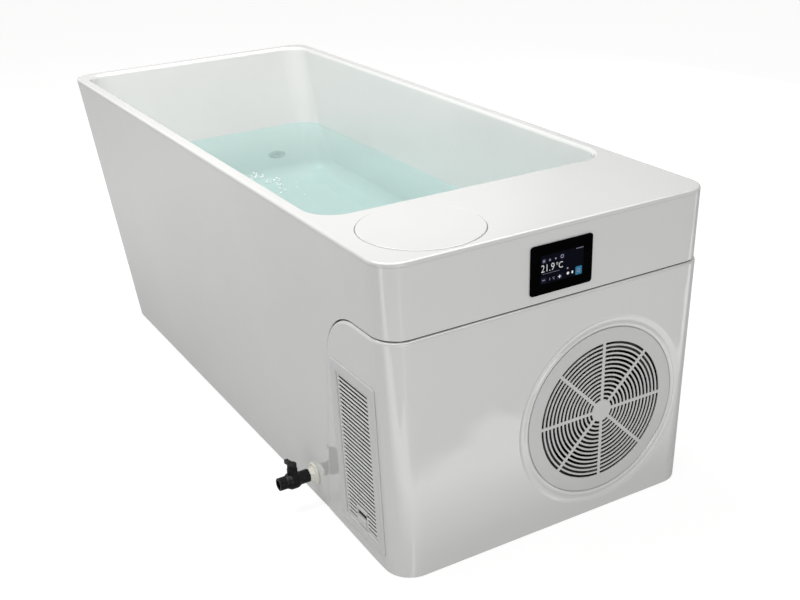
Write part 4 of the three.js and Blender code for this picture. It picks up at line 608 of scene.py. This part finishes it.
# %% Skirt
skirt = shell("skirt", 0.006, 0.6037, 0, WALL)
machine(skirt, cover_block(0.0022))
# black strip behind the cover gap: painted shade that stands for the shadow in the gap
lip = shell("seam_shade_strip", 0.006, 0.6037, 0.0048, 0.0060)
machine(lip, cover_block(0.016), "INTERSECT")
machine(lip, cover_block(-0.016))
dress(lip, "tub", "rubber")
side_holes = rod(0.0135, -0.5, 0.5, along((0.522, 0, 0.059), (0, 1, 0)))
machine(skirt, side_holes)
window = bmesh.new()
FRONT_FACE = Matrix(((0, 0, 1, 0), (1, 0, 0, 0), (0, 1, 0, 0), (0, 0, 0, 1)))
SCREEN = Matrix.Translation((0.8503, 0.006, 0.536)) @ FRONT_FACE
plate(window, 0.117, 0.075, 0.003, -0.03, 0.03, 0.0005, SCREEN)
machine(skirt, workpiece("window", window))
soften(skirt, 0.0015, lambda p: p.z < 0.6 and (abs(p.y) > 0.32 or p.x > 0.848 or p.x < -0.5), angle=60, segments=2)
dress(skirt, "tub", "acrylic", "outer_skirt")

# %% [markdown]
# ## Chiller cover
# The cover is the same outside, three millimetres further out, cut to its side outline. The round
# dish for the fan is turned: a shallow slope, a rounded lip and a short wall down to the seat of the
# grille. All edges that one can touch are rounded, and they catch the light.

# %% Cover
FAN = Vector((0.845, 0.113, 0.2166))
AT_FAN = Matrix.Translation(FAN) @ FRONT_FACE
cover = shell("cover", 0.0012, 0.5, -0.003, 0.003)
machine(cover, cover_block(0), "INTERSECT")
foot_line = bmesh.new()
block(foot_line, (-0.4, -0.5, -0.05), (0, 0.5, 0), 0, Matrix.Translation((0.79, 0, 0)) @ Matrix.Rotation(0.047, 4, "Y"))
machine(cover, workpiece("foot line", foot_line))
machine(cover, rod(0.189, -0.006, 0.0045, AT_FAN, 128), "UNION")
dish = bmesh.new()
bead = [(0.1695 + 0.001 * step, 0.0042 + 0.0018 * math.sin(math.pi * step / 10)) for step in range(11)]
slope = [(0.1830, 0.0045), (0.1865, 0.0054), (0.1892, 0.0066), (0.1912, 0.0076), (0.1930, 0.0081)]
turned(dish, [(0, -0.03), (0.1485, -0.03), (0.1485, 0), (0.1695, 0)] + bead + slope
       + [(0.1930, 0.03), (0, 0.03)], AT_FAN, steps=128)
machine(cover, workpiece("dish", dish))

# %% [markdown]
# The side wall leans by the draft of the mould, so the louvre leans with it. It is drawn flat, with
# x along the tub, y up and z outwards, and one matrix puts every louvre piece in its place.

# %% Louvre opening and soft edges of the cover
LOUVRE = (
    Matrix.Translation((0.726, -0.341, 0.204))
    @ Matrix.Rotation(0.029403, 4, "X")
    @ Matrix.Rotation(math.pi / 2, 4, "X")
)
opening = bmesh.new()
block(opening, (-0.0623, -0.1548, -0.02), (0.0623, 0.1548, 0.02), 0, LOUVRE)
machine(cover, workpiece("opening", opening))
in_louvre = LOUVRE.inverted()


def outside_edge(point):
    x0, x1, half, corner, z = tub_at(point.z, -0.003)
    past = Vector((max(point.x - x1 + corner, 0), max(abs(point.y) - half + corner, 0)))
    inner = past.length < corner - 0.003
    near_fan = (point - FAN).yz.length < 0.2 and point.x > 0.83
    flat = in_louvre @ point
    near_louvre = abs(flat.x) < 0.07 and abs(flat.y) < 0.16 and abs(flat.z) < 0.02
    return not near_fan and not near_louvre and not inner


soften(cover, 0.0055, lambda p: p.z > 0.03 and outside_edge(p), angle=60, segments=5)
soften(cover, 0.0015, lambda p: p.z < 0.03 and outside_edge(p), angle=60, segments=3)
dress(cover, "tub", "acrylic", "chiller_cover")

# %% [markdown]
# ## Fan grille
# The grille is moulded in one piece: a hub, a broad rim, thirteen thin rings and four bars across.
# Each ring is turned from its own small section with soft corners. The bars stand a hair lower than
# the rim and the rings a hair lower still, so no two faces lie in the same plane.

# %% Fan grille
grille = bmesh.new()
AT_GRILLE = Matrix.Translation((0.8453, FAN.y, FAN.z)) @ FRONT_FACE


def ring_section(inner, outer, low, high):
    return [(inner, low), (outer, low), (outer, high), (inner, high)]


soft_rib = {2: 0.0006, 3: 0.0006}
turned(grille, [(0, 0.0028), (0.0225, 0.0028), (0.0225, 0.005), (0, 0.005)], AT_GRILLE, rounds={2: 0.0008})
turned(grille, [(0.1395, 0.0028), (0.150, 0.0028), (0.150, 0), (0.168, 0), (0.168, 0.005), (0.1395, 0.005)],
       AT_GRILLE, True, {4: 0.0018, 5: 0.0008}, 128)
pitch = (0.1395 - 0.0225 + 0.0037) / 14
for index in range(1, 14):
    outer = 0.0225 + index * pitch
    turned(grille, ring_section(outer - 0.0037, outer, 0.0030, 0.0046), AT_GRILLE, True, soft_rib)
for index in range(4):
    spoke = AT_GRILLE @ Matrix.Rotation(index * math.pi / 4, 4, "Z")
    block(grille, (-0.141, -0.00325, 0.0029), (0.141, 0.00325, 0.0048), 0.0006, spoke)
dress(workpiece("grille", grille), "tub", "grey_plastic", "fan_grille")

# %% [markdown]
# Between the fan duct and the cover a ring of black sealing foam keeps the warm air from running back.
# It is one turned ring, and its black is also painted shade: only black shows through the outer slots.

# %% Duct seal
# black ring behind the grille rim: a seal, and painted shade for the outer slots
seal = bmesh.new()
turned(seal, ring_section(0.1402, 0.1560, -0.0100, -0.0062), AT_FAN, True, soft_rib, 96)
dress(workpiece("duct_seal_and_shade", seal), "tub", "rubber")

# %% [markdown]
# ## Access lid
# A round flat lid closes the filter well in the deck. It stands one millimetre proud and its edge
# is rounded, so a fine dark line and a fine bright line go round it.

# %% Access lid
lid = bmesh.new()
turned(lid, [
    (0, 0.6056), (0.0975, 0.6056), (0.0975, 0.6006), (0.1015, 0.6006), (0.1015, 0.6056),
    (0.113, 0.6056), (0.113, 0.613), (0, 0.613),
], at_lid, rounds={6: 0.002}, steps=128)
dress(workpiece("lid", lid), "lid", "acrylic", "access_lid")

# %% [markdown]
# ## Louvre
# A frame is fixed in the cover. The door in it swings out on two pins at its top edge, and a small
# latch holds it below. The slats are separate bars with soft edges between two side stiles.

# %% Louvre frame
louvre_frame = bmesh.new()
sizes = [
    (0.159, 0.343, 0.005, 0.0003), (0.159, 0.343, 0.005, 0.0018), (0.1583, 0.3423, 0.0047, 0.0027),
    (0.1562, 0.3402, 0.0036, 0.0034), (0.1200, 0.3050, 0.0018, 0.0034), (0.1184, 0.3034, 0.0010, 0.0029),
    (0.1176, 0.3026, 0.0007, 0.0016), (0.1176, 0.3026, 0.0007, -0.014), (0.1226, 0.3076, 0.0032, -0.014),
    (0.1226, 0.3076, 0.0032, 0.0003),
]
sections = [(-w / 2, w / 2, h / 2, corner, z) for w, h, corner, z in sizes]
loft(louvre_frame, sections + sections[:1], 4)
bmesh.ops.transform(louvre_frame, matrix=LOUVRE, verts=louvre_frame.verts[:])
dress(workpiece("louvre_surround", louvre_frame), "tub", "grey_plastic", "louvre_frame")

# %% Louvre door
door = bmesh.new()
sizes = [
    (0.116, 0.301, 0.0010, -0.002), (0.116, 0.301, 0.0010, 0.0006), (0.1152, 0.3002, 0.0006, 0.001),
    (0.1056, 0.2904, 0.0006, 0.001), (0.105, 0.2898, 0.0006, 0.0007), (0.105, 0.2898, 0.0006, -0.002),
]
sections = [(-w / 2, w / 2, h / 2, corner, z) for w, h, corner, z in sizes]
loft(door, sections + sections[:1], 4)
bmesh.ops.transform(door, matrix=LOUVRE, verts=door.verts[:])
block(door, (-0.0205, -0.1205, -0.0019), (0.0205, -0.1103, 0.0009), 0.0004, LOUVRE)
for side in (-1, 1):
    walls = sorted((side * 0.0165, side * 0.0205))
    block(door, (walls[0], -0.1475, -0.0019), (walls[1], -0.1115, 0.0009), 0.0004, LOUVRE)
    pins = sorted((side * 0.0556, side * 0.0604))
    block(door, (pins[0], 0.1445, -0.0015), (pins[1], 0.1465, 0.0005), 0.0006, LOUVRE)
dress(workpiece("louvre_panel", door), "door", "grey_plastic", "louvre_door")

# %% Louvre slats
slats = bmesh.new()
slot_low = [(index - 16.5) * 0.00864 - 0.0023 for index in range(34)]
for index, low in enumerate(slot_low[:-1]):
    middle = (low + 0.0046 + slot_low[index + 1]) / 2
    slat = LOUVRE @ Matrix.Translation((0, middle, 0.0002)) @ Matrix.Rotation(math.radians(-55), 4, "X")
    for x0, x1 in ((-0.0535, -0.019), (0.019, 0.0535)) if index < 3 else ((-0.0535, 0.0535),):
        block(slats, (x0, -0.0015, -0.0005), (x1, 0.0015, 0.0005), 0.0003, slat)
blades = dress(workpiece("louvre_slats", slats), "door", "grey_plastic")
# the slats get a paler copy of the door's grey plastic: painted light on their faces
blades.data.materials[0] = slat_painted_light_plastic

# %% Latch
latch = bmesh.new()
plate(latch, 0.032, 0.015, 0.00125, -0.002, 0.0035, 0.0009, LOUVRE @ Matrix.Translation((0, -0.1385, 0)))
dress(workpiece("latch_tab", latch), "latch", "grey_plastic", "door_latch")

# %% [markdown]
# ## Drain valve
# A plastic ball valve drains the tub. The white bulkhead fitting is screwed through the skirt: a
# round flange with a hexagon for the wrench. The black body is turned, with a swelling round the
# ball, and the neck carries the lever.

# %% Bulkhead fitting
VALVE = Matrix.Translation((0.522, -0.334712, 0.059)) @ Matrix.Rotation(math.pi / 2, 4, "X")
fitting = bmesh.new()
turned(fitting, [
    (0.0085, -0.045), (0.013, -0.045), (0.013, 0), (0.023, 0), (0.023, 0.005), (0.0105, 0.005),
    (0.0105, 0.025), (0.0085, 0.025),
], VALVE, True, {4: 0.0016}, 64)
bmesh.ops.create_cone(
    fitting, cap_ends=True, segments=6, radius1=0.015, radius2=0.015, depth=0.010,
    matrix=VALVE @ Matrix.Translation((0, 0, 0.009)),
)
turned(fitting, [(0.0105, 0.004), (0.0165, 0.004), (0.0165, 0.0062), (0.0105, 0.0062)],
       VALVE, True, {2: 0.0006}, 64)
dress(workpiece("drain_flange", fitting), "tub", "off_white_plastic", "bulkhead_fitting")

# %% Valve body
valve_body = bmesh.new()
cavity, ball_height = 0.0135, 0.0478
reach = math.acos(0.0085 / cavity)
seat = [reach * (1 - step / 4) for step in range(9)]
turned(valve_body, [
    (0.0135, 0.0143), (0.0135, 0.0343), (0.0175, 0.0393), (0.0175, 0.0563), (0.013, 0.0613),
    (0.013, 0.0793), (0.0085, 0.0793),
] + [(cavity * math.cos(a), ball_height + cavity * math.sin(a)) for a in seat] + [
    (0.0085, 0.0253), (0.0108, 0.0253), (0.0108, 0.0143),
], VALVE, True, {0: 0.001, 1: 0.003, 2: 0.004, 3: 0.004, 4: 0.003, 5: 0.0012, 6: 0.0006}, 64)
BALL = VALVE @ Matrix.Translation((0, 0, ball_height)) @ Matrix.Rotation(-math.pi / 2, 4, "X")
turned(valve_body, [
    (0.0063, 0.0138), (0.0105, 0.0138), (0.0105, 0.028), (0.0063, 0.028),
], BALL, True, {2: 0.001}, 48)
dress(workpiece("valve_housing", valve_body), "tub", "black_plastic", "valve_body")

# %% Valve lever
lever = bmesh.new()
turned(lever, [
    (0, 0.0113), (0.006, 0.0113), (0.006, 0.0283), (0.0095, 0.0283), (0.0095, 0.0383), (0, 0.0383),
], BALL, rounds={4: 0.0015}, steps=48)
wing = [(0.012, 0.0286), (0.012, 0.0381), (-0.0095, 0.0381), (-0.029, 0.0343), (-0.029, 0.0243),
        (-0.0108, 0.0286)]
before = set(lever.verts)
blade = lever.faces.new([lever.verts.new((x, y, 0)) for x, y in wing])
bmesh.ops.bevel(
    lever, geom=blade.verts[:], offset=0.0025, offset_type="OFFSET", segments=3,
    profile=0.5, affect="VERTICES", material=-1,
)
blade = next(face for face in lever.faces if not any(vert in before for vert in face.verts))
top = set(raise_face(lever, blade, 0.008))
made = [vert for vert in lever.verts if vert not in before]
rims = [edge for edge in lever.edges if edge.verts[0] not in before and len(edge.link_faces) == 2
        and (edge.verts[0] in top) == (edge.verts[1] in top)]
bmesh.ops.bevel(
    lever, geom=rims, offset=0.0012, offset_type="OFFSET", segments=2,
    profile=0.5, affect="EDGES", material=-1,
)
made = [vert for vert in lever.verts if vert not in before]
bmesh.ops.transform(
    lever, matrix=VALVE @ Matrix.Translation((0, 0, ball_height - 0.004)), verts=made,
)
dress(workpiece("valve_handle", lever), "valve", "black_plastic", "valve_lever")

# %% [markdown]
# ## Fittings in the basin and the cable gland
# The return jet, the suction fitting and the floor drain are the same turned flange with a rounded
# face and a deep bore. The gland for the mains lead on the far side has a dome with a small mouth.

# %% Basin fittings
def wall_fitting(name, node_name, slot, place, tail, blind):
    mesh = bmesh.new()
    inner = [(0, -tail), (0, -tail + 0.004), (0.009, -tail + 0.004)] if blind else [(0.009, -tail)]
    profile = [(0.009, 0.0056), (0.0135, 0.0042), (0.018, 0.0058), (0.026, 0.0035), (0.026, 0.0003),
               (0.013, 0.0003), (0.013, -tail)]
    turned(mesh, profile + inner, place, not blind, {0: 0.001, 2: 0.0015, 3: 0.0015}, 64)
    if blind:
        bmesh.ops.remove_doubles(mesh, verts=mesh.verts[:], dist=1e-6)
    return dress(workpiece(name, mesh), "tub", slot, node_name)


jet = wall_fitting("jet_flange", "return_jet", "grey_plastic", jet_place, 0.033, False)
suction = wall_fitting("suction_flange", "suction_fitting", "grey_plastic", suction_place, 0.028, False)
wall_fitting("drain_ring", "floor_drain", "steel", drain_place, 0.0358, False)
for fitting in (jet, suction):
    fitting.data.materials[0] = mid_grey

# %% Cable gland
gland = bmesh.new()
GLAND = Matrix.Translation((0.522, 0.334712, 0.059)) @ Matrix.Rotation(-math.pi / 2, 4, "X")
turned(gland, [
    (0.0045, -0.02), (0.0128, -0.02), (0.0128, 0.0003), (0.0155, 0.0003), (0.0155, 0.003),
    (0.0125, 0.003), (0.0125, 0.010), (0.0135, 0.010), (0.0135, 0.015), (0.011, 0.021),
    (0.008, 0.0245), (0.0045, 0.0245),
], GLAND, True, {4: 0.0008, 7: 0.0006, 8: 0.002, 9: 0.003, 10: 0.0008}, 48)
bmesh.ops.create_cone(
    gland, cap_ends=True, segments=6, radius1=0.0156, radius2=0.0156, depth=0.006,
    matrix=GLAND @ Matrix.Translation((0, 0, 0.0065)),
)
dress(workpiece("lead_gland", gland), "tub", "black_plastic", "cable_gland")

# %% [markdown]
# ## Screen
# The touch screen is one black glass with a display behind it. The display is drawn with thin lit
# plates that stand a few hundredths of a millimetre in front of the glass: a reading in white, a
# blue button and a few plain signs. A fine grid of dots in their light stands for the pixels.

# %% Screen glass and lit finishes
glass = bmesh.new()
plate(glass, 0.133, 0.091, 0.006, 0, 0.0025, 0.0006, SCREEN)
dress(workpiece("screen_front", glass), "tub", "screen_glass", "screen_glass")


def lit(name, dim, bright):
    material, tree, out = new_material(name)
    shader = node(tree, "ShaderNodeBsdfPrincipled", {
        "Base Color": (0.002, 0.002, 0.003, 1), "Roughness": 0.3,
        "Specular IOR Level": 0.02, "Emission Strength": 1.0,
    })
    colour = node(tree, "ShaderNodeMix", {6: (*dim, 1), 7: (*bright, 1)}, data_type="RGBA")
    join(tree, (shared(tree, dots), 0, colour, 0), (colour, 2, shader, "Emission Color"),
         (shader, "BSDF", out, "Surface"))
    return material


navy = lit("navy light", (0.0004, 0.0006, 0.003), (0.0008, 0.0011, 0.005))
white_light = lit("white light", (0.66, 0.67, 0.68), (0.80, 0.81, 0.82))
pale_light = lit("pale light", (0.22, 0.23, 0.32), (0.34, 0.35, 0.44))
blue_light = lit("blue light", (0.02, 0.12, 0.22), (0.04, 0.20, 0.33))
box_light = lit("box light", (0.006, 0.008, 0.020), (0.011, 0.014, 0.030))

# %% Signs on the screen
def at_screen(u, v, turn=0.0):
    flat = Matrix.Translation(((u - 0.5) * 0.133, (0.5 - v) * 0.091, 0))
    return SCREEN @ flat @ Matrix.Rotation(turn, 4, "Z")


def bar(mesh, u, v, width, height, corner=0.0002, turn=0.0, top=0.00264):
    plate(mesh, width, height, corner, 0.0024, top, 0.00002, at_screen(u, v, turn), 4)


def hoop(mesh, u, v, inner, outer, top=0.00264):
    turned(mesh, ring_section(inner, outer, 0.0024, top), at_screen(u, v), True, steps=32)


def lettering(mesh, text, u, v, height, thinner=0.0):
    curve = bpy.data.curves.new(text, "FONT")
    curve.body, curve.extrude, curve.offset = text, 0.02, -thinner
    item = bpy.data.objects.new(text, curve)
    bpy.context.collection.objects.link(item)
    letters = bpy.data.meshes.new_from_object(item.evaluated_get(bpy.context.evaluated_depsgraph_get()))
    bpy.data.objects.remove(item)
    before = set(mesh.verts)
    mesh.from_mesh(letters)
    made = [vert for vert in mesh.verts if vert not in before]
    left = min(vert.co.x for vert in made)
    low = min(vert.co.y for vert in made)
    size = height / (max(vert.co.y for vert in made) - low)
    bmesh.ops.translate(mesh, vec=(-left, -low, 0), verts=made)
    bmesh.ops.scale(mesh, vec=(0.88 * size, size, 0.001), verts=made)
    bmesh.ops.translate(mesh, vec=(0, 0, 0.00264), verts=made)
    bmesh.ops.transform(mesh, matrix=at_screen(u, v), verts=made)


def sign(name, mesh, material):
    item = workpiece(name, mesh)
    item.data.materials.append(material)
    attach(item, "tub")
    print(name, len(item.data.vertices), "points")

# %% Reading, button and small signs
panel = bmesh.new()
bar(panel, 0.505, 0.50, 0.0918, 0.0528, 0.0004, top=0.00256)
sign("display_panel", panel, navy)

boxes = bmesh.new()
bar(boxes, 0.207, 0.71, 0.0108, 0.0098, 0.0008, top=0.00260)
bar(boxes, 0.465, 0.716, 0.0108, 0.0098, 0.0008, top=0.00260)
bar(boxes, 0.207, 0.325, 0.0096, 0.0084, 0.0008, top=0.00260)
bar(boxes, 0.498, 0.315, 0.0104, 0.0092, 0.0008, top=0.00260)
sign("display_boxes", boxes, box_light)

reading = bmesh.new()
lettering(reading, "21.9", 0.165, 0.545, 0.0132, 0.012)
lettering(reading, "\u00b0C", 0.405, 0.542, 0.0120, 0.006)
bar(reading, 0.60, 0.695, 0.0052, 0.0052, 0.0024)
bar(reading, 0.672, 0.695, 0.0036, 0.0052, 0.0017)
bar(reading, 0.465, 0.716, 0.0062, 0.0014)
bar(reading, 0.465, 0.716, 0.0014, 0.0062)
sign("display_reading", reading, white_light)

signs = bmesh.new()
bar(signs, 0.325, 0.585, 0.036, 0.0004)
bar(signs, 0.207, 0.71, 0.0060, 0.0013)
for index in range(3):
    bar(signs, 0.207, 0.325, 0.0068, 0.0010, turn=index * math.pi / 3)
hoop(signs, 0.300, 0.325, 0.0012, 0.0021)
bar(signs, 0.394, 0.325, 0.0034, 0.0034, 0.0016)
hoop(signs, 0.498, 0.315, 0.0022, 0.0034)
lettering(signs, "3", 0.295, 0.74, 0.0046)
lettering(signs, "\u00b0C", 0.345, 0.74, 0.0046)
bar(signs, 0.592, 0.59, 0.0030, 0.0030, 0.0006)
for index in range(5):
    bar(signs, 0.735 + 0.024 * index, 0.235, 0.0022, 0.0011)
sign("display_signs", signs, pale_light)

button = bmesh.new()
bar(button, 0.775, 0.693, 0.0140, 0.0155, 0.0020, top=0.00260)
sign("display_button", button, blue_light)
mark = bmesh.new()
hoop(mark, 0.775, 0.693, 0.0026, 0.0036)
sign("button_mark", mark, pale_light)

# %% [markdown]
# ## Water
# The tub is about two thirds full. The water is one closed body that reaches a hair into the wall,
# so no gap shows at the water line. Stirred water is a little cloudy, so a quarter of the light stays
# at the surface, and the rest takes its aqua tint from the depth. A patch of white bubbles floats in the
# middle, where the jet stirs the water; their plain white also paints the glints on the ripples there.

# %% Water
WATER = 0.410
water_mesh = bmesh.new()
LAP = 0.0004
sections = [basin_at(FLOOR - LAP + (FILLET + LAP) * (1 - c), (FILLET + LAP) * (1 - s) - LAP) for s, c in arc(9)]
sections.append(basin_at(WATER, -LAP))
loft(water_mesh, sections, capped=True)
water = workpiece("water", water_mesh)
clear, tree, out = new_material("water")
shader = node(tree, "ShaderNodeBsdfPrincipled", {
    "Base Color": (0.62, 0.815, 0.79, 1), "IOR": 1.333, "Transmission Weight": 0.76,
})
gloss = node(tree, "ShaderNodeMapRange", {"To Min": 0.0, "To Max": 0.02})
ripple = node(tree, "ShaderNodeBump", {"Strength": 0.06, "Distance": 0.004})
depth = node(tree, "ShaderNodeVolumeAbsorption", {"Color": (0.21, 0.42, 0.40, 1), "Density": 1.15})
join(tree, (shared(tree, wiped), 0, gloss, "Value"), (gloss, "Result", shader, "Roughness"),
     (shared(tree, cloudy, {"Scale": 9.0}), 0, ripple, "Height"), (ripple, "Normal", shader, "Normal"),
     (shader, "BSDF", out, "Surface"), (depth, "Volume", out, "Volume"))
water.data.materials.append(clear)
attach(water, "tub")
water.visible_shadow = False
print("water volume about", round(1000 * (0.410 - FLOOR) * 1.2 * 0.58), "litres")

# %% Bubbles
bubbles = bmesh.new()
chance = random.Random(7)
for index in range(46):
    along_patch = chance.random()
    spot = Vector((-0.33 + 0.20 * along_patch, -0.062 + 0.030 * along_patch, WATER))
    spot += Vector((chance.gauss(0, 0.018), chance.gauss(0, 0.016), 0))
    bmesh.ops.create_icosphere(
        bubbles, subdivisions=2, radius=chance.uniform(0.0012, 0.0034), matrix=Matrix.Translation(spot),
    )
# white bubbles whose plain white also paints the glints on the ripples
bubble_and_glint_white = finish("bubble and glint white", (0.86, 0.90, 0.89), (0.96, 0.98, 0.97), (0.02, 0.08),
                    fine, (cloudy, {"Scale": 60.0}), 0.05, 0.001)
froth = workpiece("bubbles", bubbles)
froth.data.shade_smooth()
froth.data.materials.append(bubble_and_glint_white)
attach(froth, "tub")

# %% [markdown]
# ## Plain solids that stay
# The frame under the tub, the chiller and its pipes were right as solids. They keep their shape and
# get the finish of their material. Two kinds get a near-black finish as painted shade: the fan duct and
# its bracket, so the space behind the grille reads dark, and the mat behind the louvre, so the slots do.

# %% Finishes of the solids
# near-black finishes for the fan duct, its bracket and the filter mat: painted shade behind the grille and the louvre
SHADE_FINISH = {"fan_duct": shade_black_sheet, "motor_bracket": shade_black_sheet, "dust_filter": shade_filter_mat}
for part in frame["record"]["subparts"]:
    solid = frame["nodes"][part["node"]]
    for place in solid.material_slots:
        place.material = SHADE_FINISH.get(part["node"], FINISH[part["material_slot"]])
